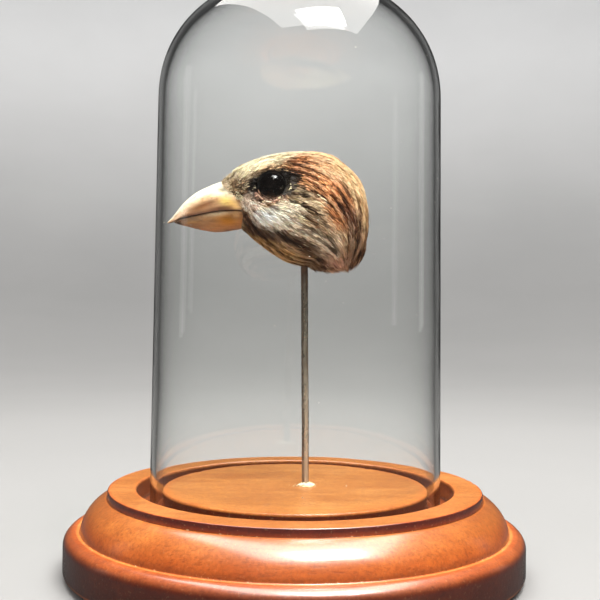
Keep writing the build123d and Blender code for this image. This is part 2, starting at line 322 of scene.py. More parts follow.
# =============================================================== materials
def wood_material():
    """Lacquered cherry: pores along X, faint growth bands, stain with painted shade and highlights on
    the vertices.
    """
    mat = Material("turned_wood_lacquer")
    vertex_stain_and_painted_light = mat.attribute("Col")
    dust_mask = mat.attribute("dust", "Fac")
    along = mat.coords(stretch=(0.16, 1.0, 1.0))
    fine = mat.coords()
    bands = mat.node("TexWave", {
        "Vector": mat.coords(stretch=(0.10, 1.0, 1.6), turn=(0.5, 0.03, 0.02)),
        "Scale": 95.0, "Distortion": 5.0, "Detail": 3.0, "Detail Scale": 1.4,
        "Detail Roughness": 0.6},
        wave_type="BANDS", bands_direction="Y", wave_profile="SIN").outputs[0]
    blotch = mat.noise(fine, scale=70, detail=4, rough=0.6, distortion=0.4)
    figure = mat.noise(along, scale=320, detail=4, rough=0.65)
    pores = mat.noise(scale=2300, detail=2, rough=0.6, stretch=(0.22, 1.0, 1.0))
    pores = mat.ramp(pores, (0.30, 0.0), (0.46, 1.0))
    flecks = mat.noise(fine, scale=1500, detail=3, rough=0.7)

    base = mat.ramp(
        blotch, (0.25, rgba(164, 92, 38)), (0.5, rgba(192, 116, 52)), (0.78, rgba(212, 137, 68)))
    base = mat.mix(mat.multiply(bands, 0.16), base, rgba(140, 70, 28))
    base = mat.mix(mat.ramp(figure, (0.35, 0.30), (0.65, 0.0)), base, rgba(152, 74, 28))
    base = mat.mix(mat.ramp(flecks, (0.40, 0.24), (0.58, 0.0)), base, rgba(132, 62, 24))
    base = mat.mix(mat.ramp(pores, (0.0, 0.32), (1.0, 0.0)), base, rgba(98, 40, 18))
    grain = mat.noise(fine, scale=2300, detail=2, rough=0.7)
    grain = mat.ramp(grain, (0.30, 0.84), (0.5, 0.99), (0.72, 1.12))
    base = mat.mix(1.0, base, grain, "MULTIPLY")
    mottle = mat.noise(fine, scale=820, detail=4, rough=0.75)
    mottle = mat.ramp(mottle, (0.34, 0.92), (0.5, 1.0), (0.68, 1.07))
    base = mat.mix(1.0, base, mottle, "MULTIPLY")
    base = mat.mix(1.0, base, vertex_stain_and_painted_light, "MULTIPLY")

    specks = mat.noise(fine, scale=2600, detail=1, rough=0.4)
    specks = mat.multiply(mat.ramp(specks, (0.66, 0.0), (0.72, 1.0)), dust_mask)
    film = mat.noise(fine, scale=700, detail=4, rough=0.7)
    film = mat.multiply(mat.ramp(film, (0.48, 0.0), (0.80, 0.16)), dust_mask)
    dusty = mat.math("MAXIMUM", specks, film)
    colour = mat.mix(dusty, base, rgba(226, 196, 150))
    rough = mat.add(mat.multiply(blotch, 0.10), 0.34)
    rough = mat.add(rough, mat.multiply(dusty, 0.4))
    height = mat.add(mat.multiply(pores, 0.5), mat.multiply(figure, 0.5))
    waves = mat.noise(fine, scale=480, detail=3, rough=0.6)
    waves = mat.bump(waves, strength=0.25, distance=0.00012)
    normal = mat.bump(height, strength=0.35, distance=0.00006, normal=waves)
    normal = mat.bump(dusty, strength=0.4, distance=0.0001, normal=normal)

    # flat tops keep less lacquer than the mouldings
    flat = mat.fade(mat.axis(mat.geometry("Normal"), 2), 0.90, 0.995)
    coat = mat.subtract(1.0, mat.multiply(flat, 0.70))
    specular = mat.subtract(0.42, mat.multiply(flat, 0.22))
    return mat.surface_principled(
        Base_Color=colour, Roughness=rough, Normal=normal, Coat_Weight=coat,
        Coat_Roughness=0.215, Coat_IOR=1.8, Specular_IOR_Level=specular)


def glass_material():
    """Clear glass with a faint green cast, smears and dust. Shadow rays pass through it."""
    mat = Material("dome_glass_clear")
    light_path = mat.node("LightPath").outputs
    through = mat.math("MAXIMUM", light_path["Is Shadow Ray"], light_path["Is Diffuse Ray"])
    smear = mat.noise(scale=420, detail=4, rough=0.6, stretch=(1.0, 1.0, 0.06))
    smear = mat.ramp(smear, (0.56, 0.0), (0.85, 0.006))
    haze = mat.ramp(mat.noise(scale=55, detail=3, rough=0.6), (0.45, 0.0), (0.80, 0.001))
    cells = mat.node("TexVoronoi", {"Vector": mat.coords(), "Scale": 330.0, "Randomness": 1.0})
    pick = mat.ramp(mat.noise(scale=210, detail=2, rough=0.5), (0.52, 0.0), (0.56, 1.0))
    specks = mat.ramp(cells.outputs["Distance"], (0.016, 1.0), (0.042, 0.0))
    specks = mat.multiply(specks, pick)
    dirt = mat.math("MAXIMUM", mat.add(smear, haze), mat.multiply(specks, 0.8), clamp=True)
    wave = mat.noise(scale=38, detail=2, rough=0.4, stretch=(1, 1, 0.35))
    wave = mat.bump(wave, strength=0.10, distance=0.0006)
    glass = mat.principled(
        Base_Color=(0.985, 0.996, 0.988, 1), Roughness=0.0, IOR=1.5, Transmission_Weight=1.0,
        Specular_IOR_Level=0.5, Normal=wave)
    clear = mat.node("BsdfTransparent", {"Color": (0.96, 0.975, 0.965, 1)}).outputs[0]
    dust = mat.principled(Base_Color=rgba(226, 220, 206), Roughness=0.9)
    seen = mat.node("MixShader", {0: dirt, 1: glass, 2: dust}).outputs[0]
    return mat.surface(mat.node("MixShader", {0: through, 1: seen, 2: clear}).outputs[0])


def steel_material():
    """Dull drawn wire: brown oxide over grey steel, die lines along its length, a painted highlight
    down the -Y face of its lower part and painted shade down its sides.
    """
    mat = Material("rod_steel_aged")
    lines = mat.noise(scale=5200, detail=3, rough=0.6, stretch=(1, 1, 0.03))
    oxide = mat.noise(scale=420, detail=4, rough=0.65, stretch=(1, 1, 0.4))
    height = mat.axis(mat.coords(), 2)
    rise = mat.fade(height, (TOP + 12) * MM, (TOP + 34) * MM, kind="LINEAR")
    steel = mat.ramp(lines, (0.32, rgba(150, 138, 122)), (0.7, rgba(238, 228, 208)))
    brown = mat.ramp(oxide, (0.35, rgba(52, 38, 31)), (0.7, rgba(104, 80, 64)))
    patches = mat.ramp(oxide, (0.42, 0.05), (0.62, 0.5))
    # oxide patches, browner towards the top
    rust_and_shade = mat.add(mat.multiply(rise, 0.45), patches, clamp=True)
    # painted highlight along the -Y face of its lower part, painted shade in brown down the sides
    facing = mat.node(
        "VectorMath", {0: mat.geometry("Normal"), 1: (0.30, -0.954, 0.0)},
        operation="DOT_PRODUCT").outputs["Value"]
    highlight_strip = mat.fade(facing, 0.74, 0.985)
    lower = mat.fade(height, (TOP + 8) * MM, (TOP + 24) * MM, to=(1.0, 0.0))
    painted_highlight = mat.multiply(
        mat.multiply(highlight_strip, lower), mat.ramp(oxide, (0.30, 1.0), (0.70, 0.72)))
    rust_and_shade = mat.math("MAXIMUM", rust_and_shade, mat.subtract(0.72, mat.multiply(highlight_strip, 0.6)))
    rust_and_shade = mat.multiply(rust_and_shade, mat.subtract(1.0, painted_highlight), clamp=True)
    steel = mat.mix(painted_highlight, steel, rgba(186, 168, 146))
    metallic = mat.subtract(0.95, mat.multiply(rust_and_shade, 0.5))
    return mat.surface_principled(
        Base_Color=mat.mix(rust_and_shade, steel, brown),
        Metallic=mat.subtract(metallic, mat.multiply(painted_highlight, 0.6)),
        Roughness=mat.add(mat.multiply(oxide, 0.3), 0.14),
        Normal=mat.bump(lines, strength=0.3, distance=0.00003))


def glue_material():
    mat = Material("glue_dried_crust")
    lumps = mat.noise(scale=1300, detail=4, rough=0.7)
    grains = mat.noise(scale=5200, detail=3, rough=0.7)
    height = mat.add(lumps, mat.multiply(grains, 0.5))
    colour = mat.ramp(
        lumps, (0.3, rgba(164, 138, 96)), (0.5, rgba(210, 196, 160)), (0.75, rgba(236, 228, 206)))
    return mat.surface_principled(
        Base_Color=colour, Roughness=0.62, Subsurface_Weight=0.25,
        Subsurface_Radius=(0.0006, 0.0005, 0.0003),
        Normal=mat.bump(height, strength=0.8, distance=0.00022))


def felt_material():
    """Pressed felt: two crossed sets of fibres."""
    mat = Material("felt_pressed")
    first = mat.noise(scale=3000, detail=4, rough=0.7, stretch=(1, 0.3, 1), turn=(0, 0, 0.7))
    second = mat.noise(scale=3400, detail=4, rough=0.7, stretch=(0.3, 1, 1), turn=(0, 0, 0.2))
    height = mat.add(first, second)
    dark, light = rgba(22, 44, 32), rgba(52, 84, 62)
    return mat.surface_principled(
        Base_Color=mat.ramp(mat.multiply(height, 0.5), (0.35, dark), (0.65, light)),
        Roughness=0.97, Sheen_Weight=0.5, Sheen_Roughness=0.6,
        Normal=mat.bump(height, strength=0.9, distance=0.00015))


def plumage_material():
    """Barbs: the colour painted on the vertices, broken up along and across the barbs."""
    mat = Material("plumage_barbs")
    painted = mat.attribute("Col")
    patches = mat.noise(scale=1500, detail=3, rough=0.6)
    streaks = mat.noise(scale=5200, detail=3, rough=0.6, turn=(0, 0.6, 0), stretch=(0.35, 1, 1))
    shade = mat.add(mat.multiply(patches, 0.34), mat.multiply(streaks, 0.42))
    shade = mat.add(shade, 0.62)
    shade = mat.node("CombineColor", {0: shade, 1: shade, 2: shade}).outputs[0]
    barbules = mat.node("TexWave", {
        "Vector": mat.coords(turn=(0.3, 0.5, 0.2)), "Scale": 5200.0, "Distortion": 3.0,
        "Detail": 2.0}, wave_type="BANDS").outputs[0]
    return mat.surface_principled(
        Base_Color=mat.mix(1.0, painted, shade, "MULTIPLY"), Roughness=0.75,
        Specular_IOR_Level=0.07, Sheen_Weight=0.02, Sheen_Roughness=0.4,
        Normal=mat.bump(barbules, strength=0.25, distance=0.00002))


def skin_material():
    mat = Material("skin_under_down")
    painted = mat.attribute("Col")
    streaks = mat.noise(scale=2600, detail=4, rough=0.7, turn=(0, 0.6, 0), stretch=(0.25, 1, 1))
    dark_share = mat.ramp(streaks, (0.3, 0.5), (0.65, 0.0))
    return mat.surface_principled(
        Base_Color=mat.mix(dark_share, painted, rgba(60, 46, 38)), Roughness=0.9,
        Sheen_Weight=0.3, Normal=mat.bump(streaks, strength=0.8, distance=0.0002))


def horn_material(name, roughness):
    """Keratin: painted zones, growth lines and brown spots."""
    mat = Material(name)
    painted = mat.attribute("Col")
    lines = mat.noise(scale=1500, detail=4, rough=0.65, turn=(0, -0.35, 0), stretch=(0.18, 1, 1))
    spots = mat.noise(scale=1100, detail=3, rough=0.6)
    shade = mat.ramp(lines, (0.28, 0.66), (0.55, 1.0), (0.8, 1.12))
    colour = mat.mix(1.0, painted, shade, "MULTIPLY")
    colour = mat.mix(mat.ramp(spots, (0.58, 0.0), (0.74, 0.5)), colour, rgba(122, 74, 38))
    height = mat.add(lines, mat.multiply(spots, 0.5))
    return mat.surface_principled(
        Base_Color=colour, Roughness=mat.add(mat.multiply(spots, 0.25), roughness - 0.1),
        Normal=mat.bump(height, strength=0.35, distance=0.00012), Subsurface_Weight=0.12,
        Subsurface_Radius=(0.0012, 0.0007, 0.0003), Coat_Weight=0.25, Coat_Roughness=0.18)


def eye_material():
    """Black glass with a little lint."""
    mat = Material("eye_black_glass")
    depth = mat.noise(scale=900, detail=3, rough=0.6)
    colour = mat.ramp(depth, (0.3, (0.0015, 0.0012, 0.0011, 1)), (0.8, (0.005, 0.0035, 0.003, 1)))
    lint = mat.noise(scale=2600, detail=2, rough=0.5, stretch=(1, 1, 0.5))
    lint = mat.ramp(lint, (0.72, 0.0), (0.76, 0.25))
    colour = mat.mix(lint, colour, rgba(190, 178, 160))
    return mat.surface_principled(Base_Color=colour, Roughness=0.0, IOR=1.5)


def lid_material():
    mat = Material("eyelid_skin")
    painted = mat.attribute("Col")
    grain = mat.noise(scale=3200, detail=3, rough=0.7)
    shade = mat.ramp(grain, (0.35, 0.55), (0.6, 1.0))
    return mat.surface_principled(
        Base_Color=mat.mix(1.0, painted, shade, "MULTIPLY"), Roughness=0.7,
        Specular_IOR_Level=0.12, Normal=mat.bump(grain, strength=0.7, distance=0.00012))


def plain_material(name, dark, light, scale, rough, bump=0.5, distance=0.0002,
                   stretch=(1, 1, 1), metallic=0.0):
    """Two-tone noise, for the pieces inside the head."""
    mat = Material(name)
    coarse = mat.noise(scale=scale, detail=4, rough=0.65, stretch=stretch)
    fine = mat.noise(scale=scale * 4, detail=3, rough=0.6)
    height = mat.add(mat.multiply(coarse, 0.7), mat.multiply(fine, 0.3))
    return mat.surface_principled(
        Base_Color=mat.ramp(height, (0.32, rgba(*dark)), (0.68, rgba(*light))),
        Roughness=rough, Metallic=metallic, Normal=mat.bump(height, bump, distance))


WOOD = wood_material()
GLASS = glass_material()
STEEL = steel_material()
GLUE = glue_material()
FELT = felt_material()
PLUMAGE = plumage_material()
SKIN = skin_material()
EYE_GLASS = eye_material()
LID = lid_material()
HORN_UPPER = horn_material("beak_horn_upper", roughness=0.32)
HORN_LOWER = horn_material("beak_horn_lower", roughness=0.36)

# material, CAD pieces that wear it, dark tone, light tone, other settings
PLAIN_PARTS = (
    ("bone_cleaned", ("skull",), (196, 180, 146), (236, 226, 200), dict(scale=1400, rough=0.6)),
    ("cotton_packed", ("skull_filler",), (206, 200, 186), (246, 243, 234),
     dict(scale=900, rough=0.95, bump=0.9, distance=0.0004)),
    ("tow_wound", ("neck_stuffing",), (120, 96, 62), (204, 178, 128),
     dict(scale=1100, rough=0.95, bump=0.9, distance=0.0004, stretch=(1, 1, 6))),
    ("balsa_raw", ("neck_plug",), (190, 156, 108), (226, 198, 152),
     dict(scale=900, rough=0.8, distance=0.0001, stretch=(1, 1, 0.12))),
    ("clay_dry", ("eye_clay_left", "eye_clay_right"), (96, 82, 70), (140, 122, 104),
     dict(scale=1500, rough=0.9, bump=0.6)),
    ("wire_iron", ("eye_wire_left", "eye_wire_right"), (80, 74, 70), (130, 122, 114),
     dict(scale=3000, rough=0.45, bump=0.3, distance=0.00003, stretch=(1, 0.1, 1),
          metallic=1.0)),
)


def paint(part, material):
    slots = NODES[part].data.materials
    slots.clear()
    slots.append(material)


paint("rod", STEEL)
for material_name, parts, dark_tone, light_tone, settings in PLAIN_PARTS:
    plain = plain_material(material_name, dark_tone, light_tone, **settings)
    for part in parts:
        paint(part, plain)


# =============================================================== turned base
def base_profile():
    """Outline (radius, z) from the centre of the top, out and back underneath.

    Every point comes with its stain and painted light, a multiplier on the wood's colour, and its
    share of dust.
    The multipliers put painted shade in the groove, the corners, the step, the crease and down the
    foot's side, and a painted highlight line along the foot's inner edge.
    """
    outline, stains_and_painted_light, dusts = [], [], []

    def add(points, stain_and_painted_light, dust):
        outline.extend(points)
        stains_and_painted_light.extend([stain_and_painted_light] * len(points))
        dusts.extend([dust] * len(points))

    plain = (0.88, 1.02, 1.20)
    corner_shade = (0.13, 0.05, 0.05)
    rim_wall_shade = (0.18, 0.05, 0.055)
    foot_wall_shade = (0.14, 0.058, 0.05)
    underside = (0.75, 0.7, 0.66)

    # platform
    add([(0, 0)], plain, 0.2)
    add(level(0.0, 0.8, PLATFORM_R - 1.6, 26), plain, 0.16)
    add(arc(PLATFORM_R - 0.3, -0.3, 0.3, 90, 0, 6), (0.98, 0.90, 0.86), 0.12)
    # groove that holds the dome; its walls, floor and corners darkened as painted shade
    add(upright(PLATFORM_R, -0.5, -GROOVE_DEPTH + 0.25, 6), (0.16, 0.07, 0.05), 0.1)
    add([(PLATFORM_R + 0.25, -GROOVE_DEPTH)], corner_shade, 0.5)
    add(level(-GROOVE_DEPTH, PLATFORM_R + 0.7, GROOVE_R - 0.7, 6), (0.36, 0.20, 0.14), 0.3)
    add([(GROOVE_R - 0.25, -GROOVE_DEPTH)], corner_shade, 0.5)
    add(upright(GROOVE_R, -GROOVE_DEPTH + 0.25, -0.55, 6), (0.34, 0.21, 0.15), 0.15)
    # rim and the step below it; the lower part of the rim's rounding, the step face and the corner at
    # its foot darkened as painted shade, the step face less towards its foot
    add(arc(GROOVE_R + 0.28, -0.28, 0.28, 180, 90, 6), (1.0, 0.9, 0.86), 0.15)
    add(level(0.0, GROOVE_R + 0.7, RIM_R - 0.6, 9), (0.80, 0.87, 0.98), 0.12)
    edge = arc(RIM_R - 0.22, -0.22, 0.22, 90, 0, 7)
    add(edge[:3], (0.90, 0.66, 0.60), 0.1)
    add(edge[3:], rim_wall_shade, 0.1)
    for point in upright(RIM_R, -0.32, -STEP_H + 0.1, 8):
        share = smooth01((-point[1] - 0.45) / 0.8)
        add([point], blend(rim_wall_shade, (0.42, 0.19, 0.10), share), 0.10)
    add([(RIM_R + 0.04, -STEP_H)], (0.20, 0.10, 0.06), 0.5)

    # ovolo: a circle through the step's foot and the crease
    half = math.hypot(OVOLO_FOOT_R - OVOLO_TOP_R, STEP_H + CREASE_Z) / 2
    back = math.sqrt(OVOLO_ROUND ** 2 - half ** 2)
    mid_r = (OVOLO_TOP_R + OVOLO_FOOT_R) / 2 - (-STEP_H - CREASE_Z) / (2 * half) * back
    mid_z = (CREASE_Z - STEP_H) / 2 - (OVOLO_FOOT_R - OVOLO_TOP_R) / (2 * half) * back
    start = math.degrees(math.atan2(-STEP_H - mid_z, OVOLO_TOP_R - mid_r))
    end = math.degrees(math.atan2(CREASE_Z - mid_z, OVOLO_FOOT_R - mid_r))
    ovolo = arc(mid_r, mid_z, OVOLO_ROUND, start, end, 34)
    # paler at the top, more saturated lower down, and darkened into the crease as painted shade
    for i, point in enumerate(ovolo):
        share = i / (len(ovolo) - 1)
        stain_and_painted_light = blend((0.78, 0.69, 0.58), (0.76, 0.50, 0.30), smooth01((share - 0.30) / 0.6))
        stain_and_painted_light = stain_and_painted_light * (1 - 0.32 * smooth01((share - 0.82) / 0.18))
        add([point], stain_and_painted_light, 0.04 + 0.08 * float(share > 0.95))

    # crease and foot: painted shade in the crease, a painted highlight line along the foot's inner
    # edge, painted shade down the foot's side, deepening towards the bottom
    foot_top = CREASE_Z - 0.15
    add([(OVOLO_FOOT_R + 0.02, CREASE_Z - 0.06)], (0.62, 0.42, 0.28), 0.3)
    add([(OVOLO_FOOT_R + 0.10, foot_top)], (1.0, 0.98, 1.0), 0.5)
    add([(OVOLO_FOOT_R + 0.30, foot_top)], (1.12, 1.14, 1.25), 0.6)
    add([(OVOLO_FOOT_R + 0.50, foot_top)], (1.0, 0.96, 0.98), 0.4)
    shoulder = arc(FOOT_R - FOOT_ROUND, foot_top - FOOT_ROUND, FOOT_ROUND, 90, 0, 22)
    for i, point in enumerate(shoulder):
        share = i / (len(shoulder) - 1)
        stain_and_painted_light = blend((0.68, 0.47, 0.50), foot_wall_shade, smooth01((share - 0.40) / 0.50))
        add([point], stain_and_painted_light, 0.10 * (1 - share) ** 2 + 0.04)
    side = upright(FOOT_R, foot_top - FOOT_ROUND - 0.3, BOTTOM + FOOT_ARRIS + 0.1, 10)
    for i, point in enumerate(side):
        add([point], np.array(foot_wall_shade) * (1 - 0.3 * (i / (len(side) - 1))), 0.05)
    add(arc(FOOT_R - FOOT_ARRIS, BOTTOM + FOOT_ARRIS, FOOT_ARRIS, 0, -90, 7),
        (0.5, 0.4, 0.36), 0.1)
    add(level(BOTTOM, FOOT_R - 1.5, 3.0, 8), underside, 0.1)
    add([(0, BOTTOM)], underside, 0.1)
    return outline, stains_and_painted_light, dusts


def base_piece():
    outline, stains_and_painted_light, dusts = base_profile()
    rng = np.random.default_rng(11)
    # three are used; drawing forty sets where the dings fall
    phases = rng.uniform(0, 6.28, 40)

    def wobble(radius, z, angle, index):
        """Run-out and tool chatter, inward only beyond the platform, none on flat faces."""
        if abs(z) < 1e-6 or abs(z - BOTTOM) < 1e-6:
            return radius, z
        shift = 0.016 * math.sin(2 * angle + phases[0])
        shift += 0.010 * math.sin(5 * angle + phases[1] + z)
        shift += 0.006 * math.sin(17 * angle + phases[2] + 3 * z)
        shift += 0.018 * ring_noise(angle, 3.0, z * 1.3 + radius * 0.9)
        return radius + (-abs(shift) if radius > 23 else shift) * 0.8, z

    points, faces, rows = lathe(outline, 288, wobble)

    # dings on the edges of the rim, the foot and the platform
    edges = ((RIM_R, -0.1), (FOOT_R - 0.5, CREASE_Z - 0.7), (PLATFORM_R, -0.1))
    for _ in range(26):
        angle = rng.uniform(0, 2 * math.pi)
        radius, z = edges[rng.integers(0, 3)]
        centre = np.array([radius * math.cos(angle), radius * math.sin(angle), z])
        distance = np.linalg.norm(points - centre, axis=1)
        size = rng.uniform(0.35, 0.9)
        dent = np.exp(-(distance / size) ** 2) * rng.uniform(0.03, 0.09)
        points[:, 0] -= dent * math.cos(angle)
        points[:, 1] -= dent * math.sin(angle)
        points[:, 2] -= dent * (np.abs(points[:, 2]) < 0.6)

    colours = np.zeros((len(points), 3))
    dust = np.zeros(len(points))
    for row, stain_and_painted_light, row_dust in zip(rows, stains_and_painted_light, dusts):
        colours[row] = stain_and_painted_light
        dust[row] = row_dust
    add_piece("base_turned", points, faces, WOOD, "turned_wood", "base",
              sharp=38, colours=colours, dust=dust)


def felt_piece():
    """Pad under the base, with a ragged edge. Its z starts at the resting face."""
    outline = [(0, 0.78)] + level(0.78, 3, 35.6, 12) + arc(36.0, 0.55, 0.25, 90, 0, 3)
    outline += [(36.35, 0.4)] + arc(36.1, 0.25, 0.2, 0, -90, 3)
    outline += level(0.02, 35.4, 3, 12) + [(0, 0.02)]

    def wobble(radius, z, angle, index):
        broad = ring_noise(angle, 9, z * 2)
        fine = ring_noise(angle, 60, z * 3 + radius)
        new_z = z if z > 0.5 else max(0.0, z + 0.02 * fine)
        return radius + (0.12 * broad + 0.05 * fine if radius > 35 else 0), new_z

    points, faces, _ = lathe(outline, 240, wobble)
    add_piece("base_felt_pad", points, faces, FELT, "felt", "base_felt", lift=0, sharp=60)


def dome_piece():
    crown_steps = 44
    foot_z = -GROOVE_DEPTH

    def crown(radius, height):
        """Quarter of a superellipse, from the shoulder to the axis."""
        angles = [math.pi / 2 * i / crown_steps for i in range(crown_steps + 1)]
        power = 2 / DOME_POWER
        curve = [(radius * math.cos(angle) ** power, DOME_STRAIGHT + height * math.sin(angle) ** power)
                 for angle in angles[:-1]]
        return curve + [(0.0, DOME_STRAIGHT + height * math.sin(angles[-1]) ** power)]

    def wall(foot_r, heights):
        taper = DOME_SHOULDER_R - DOME_FOOT_R
        rise = DOME_STRAIGHT + GROOVE_DEPTH
        return [(foot_r + taper * (z + GROOVE_DEPTH) / rise, z) for z in heights]

    outer_foot, inner_foot = DOME_FOOT_R, DOME_FOOT_R - DOME_WALL
    lip_z = foot_z + DOME_LIP
    outer = wall(outer_foot, np.linspace(lip_z, DOME_STRAIGHT, 40)[:-1])
    outer += crown(DOME_SHOULDER_R, DOME_CROWN)
    inner = crown(DOME_SHOULDER_R - DOME_WALL, DOME_CROWN - DOME_WALL * 1.15)[::-1]
    inner += wall(inner_foot, np.linspace(DOME_STRAIGHT, lip_z, 40)[1:])
    foot = arc(inner_foot + DOME_LIP, lip_z, DOME_LIP, 180, 270, 5)[1:]
    foot += arc(outer_foot - DOME_LIP, lip_z, DOME_LIP, -90, 0, 5)[:-1]

    def wobble(radius, z, angle, index):
        """The wall wanders a little: both ways inside, only inwards outside."""
        broad = ring_noise(angle, 1.3, z * 0.035 + 4)
        fine = ring_noise(angle, 3.1, z * 0.09 + 9)
        if index < len(outer):
            return radius - 0.018 * abs(broad) - 0.008 * abs(fine), z
        return radius + 0.045 * broad + 0.02 * fine, z

    points, faces, _ = lathe(outer + inner + foot, 256, wobble)
    add_piece("glass_dome_blown", points, faces, GLASS, "dome_glass", "glass_dome",
              body="dome_body", sharp=70)


def glue_piece():
    """A lumpy bead of glue round the foot of the rod, with crumbs on and round it."""
    rod_x = 1.78
    bore_r = 0.56
    outline = [
        (bore_r, -0.02), (1.62, -0.02), (1.66, 0.06), (1.55, 0.18), (1.35, 0.27), (1.12, 0.35),
        (0.92, 0.43), (0.78, 0.52), (0.66, 0.58), (bore_r, 0.56)]

    def wobble(radius, z, angle, index):
        if radius < 0.6:
            return radius, z
        broad = ring_noise(angle, 1.6, z * 1.5 + 3)
        lumps = ring_noise(angle, 5.5, z * 7 + 8)
        grains = ring_noise(angle, 14, z * 16 + 2)
        reach = (radius - bore_r) / 1.1
        new_r = radius + reach * (0.42 * broad + 0.26 * lumps + 0.12 * grains)
        new_z = z * (1 + 0.5 * broad) + (0.10 * lumps + 0.07 * grains) * (z > 0)
        return new_r, max(-0.02, new_z)

    bead, faces, _ = lathe(outline, 96, wobble)
    bead[:, 0] = bead[:, 0] * 0.92 + rod_x + 0.08
    bead[:, 1] *= 0.92
    points = [bead]
    first = len(bead)
    crumb = np.array([
        [1, 0, 0], [-1, 0, 0], [0, 1, 0], [0, -1, 0], [0, 0, 1], [0, 0, -1]], float)
    crumb_faces = (
        (0, 2, 4), (2, 1, 4), (1, 3, 4), (3, 0, 4), (2, 0, 5), (1, 2, 5), (3, 1, 5), (0, 3, 5))
    rng = np.random.default_rng(77)
    for _ in range(46):
        angle = rng.uniform(0, 2 * math.pi)
        radius = rng.uniform(0.8, 1.9)
        radius += rng.uniform(0.2, 1.1) if rng.random() < 0.25 else 0
        size = rng.uniform(0.06, 0.17)
        z = max(0.02, 0.46 - 0.28 * radius) + size * 0.3
        centre = np.array([rod_x + radius * math.cos(angle), radius * math.sin(angle), z])
        points.append(crumb * rng.uniform(0.6, 1.2, (6, 1)) * size + centre)
        faces += [tuple(first + i for i in face) for face in crumb_faces]
        first += len(crumb)
    add_piece("rod_glue_crust", np.vstack(points), faces, GLUE, "dried_glue", "rod_glue", sharp=50)


base_piece()
felt_piece()
dome_piece()
glue_piece()

# =============================================================== surface of the head
# sections from the bill to the nape: top (x, z), bottom (x, z), half width
HEAD_SECTIONS = [
    ((-13.9, 52.55), (-10.1, 44.35), 4.15), ((-12.4, 54.0), (-9.3, 43.8), 5.0),
    ((-10.6, 55.5), (-7.9, 42.5), 5.95), ((-8.4, 56.45), (-6.2, 41.2), 6.75),
    ((-5.6, 57.4), (-4.2, 39.8), 7.5), ((-2.6, 58.0), (-2.0, 38.6), 8.3),
    ((0.6, 58.2), (0.4, 38.0), 8.95), ((3.6, 58.1), (2.9, 37.6), 9.25),
    ((6.1, 57.4), (5.2, 37.3), 9.1), ((8.5, 55.7), (7.6, 37.4), 8.5),
    ((10.4, 53.8), (9.4, 37.9), 7.3), ((11.5, 51.9), (10.7, 38.8), 5.7),
    ((12.15, 49.3), (11.7, 40.4), 3.7), ((12.45, 47.0), (12.3, 43.2), 1.6),
    ((12.52, 45.6), (12.5, 44.8), 0.4),
]
# soft swellings and hollows on both sides: height, then centre x, z, half sizes and angle
HEAD_RELIEF = (
    (0.30, -4.0, 54.6, 3.4, 0.9, 8), (0.28, -3.5, 46.6, 3.6, 1.6, -15),
    (-0.30, -9.8, 50.4, 2.0, 1.5, 0), (0.25, 2.5, 47.0, 3.5, 2.0, -20),
    (-0.22, 0.5, 50.4, 1.6, 1.2, -20),
)


def catmull(rows, count):
    """Rows of a table resampled along a Catmull-Rom curve."""
    rows = np.array(rows, float)
    last = len(rows) - 1
    out = []
    for place in np.linspace(0, last, count):
        i = min(int(place), last - 1)
        t = place - i
        p0, p1, p2, p3 = rows[max(i - 1, 0)], rows[i], rows[i + 1], rows[min(i + 2, last)]
        out.append(0.5 * ((2 * p1) + (-p0 + p2) * t + (2 * p0 - 5 * p1 + 4 * p2 - p3) * t * t
                          + (-p0 + 3 * p1 - 3 * p2 + p3) * t ** 3))
    return np.array(out)


def head_grid(sections=180, around=160):
    rows = catmull([(*top, *bottom, half) for top, bottom, half in HEAD_SECTIONS], sections)
    angles = 2 * np.pi * np.arange(around) / around
    cosine, sine = np.cos(angles), np.sin(angles)
    power = 2 / SECTION_POWER
    rise = np.sign(cosine) * np.abs(cosine) ** power
    rise = rise - BELLY * (1 - rise * rise)
    width = np.sign(sine) * np.abs(sine) ** power
    grid = np.zeros((sections, around, 3))
    for i, (top_x, top_z, bottom_x, bottom_z, half) in enumerate(rows):
        grid[i, :, 0] = (top_x + bottom_x) / 2 + (top_x - bottom_x) / 2 * rise
        grid[i, :, 1] = half * width
        grid[i, :, 2] = (top_z + bottom_z) / 2 + (top_z - bottom_z) / 2 * rise
        # the feather line bows back along the side of the bill
        bow = 1 - smooth01(i / (sections * 0.24))
        grid[i, :, 0] += 1.7 * bow * np.abs(sine) ** 3
    return grid


def around_difference(grid):
    return np.roll(grid, -1, 1) - np.roll(grid, 1, 1)


def grid_normals(grid):
    normals = np.cross(around_difference(grid), np.gradient(grid, axis=0))
    normals /= np.linalg.norm(normals, axis=2, keepdims=True) + 1e-12
    outward = ((grid - grid.mean((0, 1))) * normals).sum()
    return -normals if outward < 0 else normals


def local_axes(x, z, mid_x, mid_z, angle):
    cosine, sine = math.cos(math.radians(angle)), math.sin(math.radians(angle))
    return ((x - mid_x) * cosine + (z - mid_z) * sine,
            -(x - mid_x) * sine + (z - mid_z) * cosine)


# Masks in the XZ plane: a soft spot, an oval with a soft edge, a band along a line.
def gauss(x, z, mid_x, mid_z, half_x, half_z, angle=0.0):
    along, across = local_axes(x, z, mid_x, mid_z, angle)
    return np.exp(-((along / half_x) ** 2 + (across / half_z) ** 2))


def oval(x, z, mid_x, mid_z, half_x, half_z, soft, angle):
    along, across = local_axes(x, z, mid_x, mid_z, angle)
    return 1 - smooth01((np.hypot(along / half_x, across / half_z) - 1 + soft / 2) / soft)


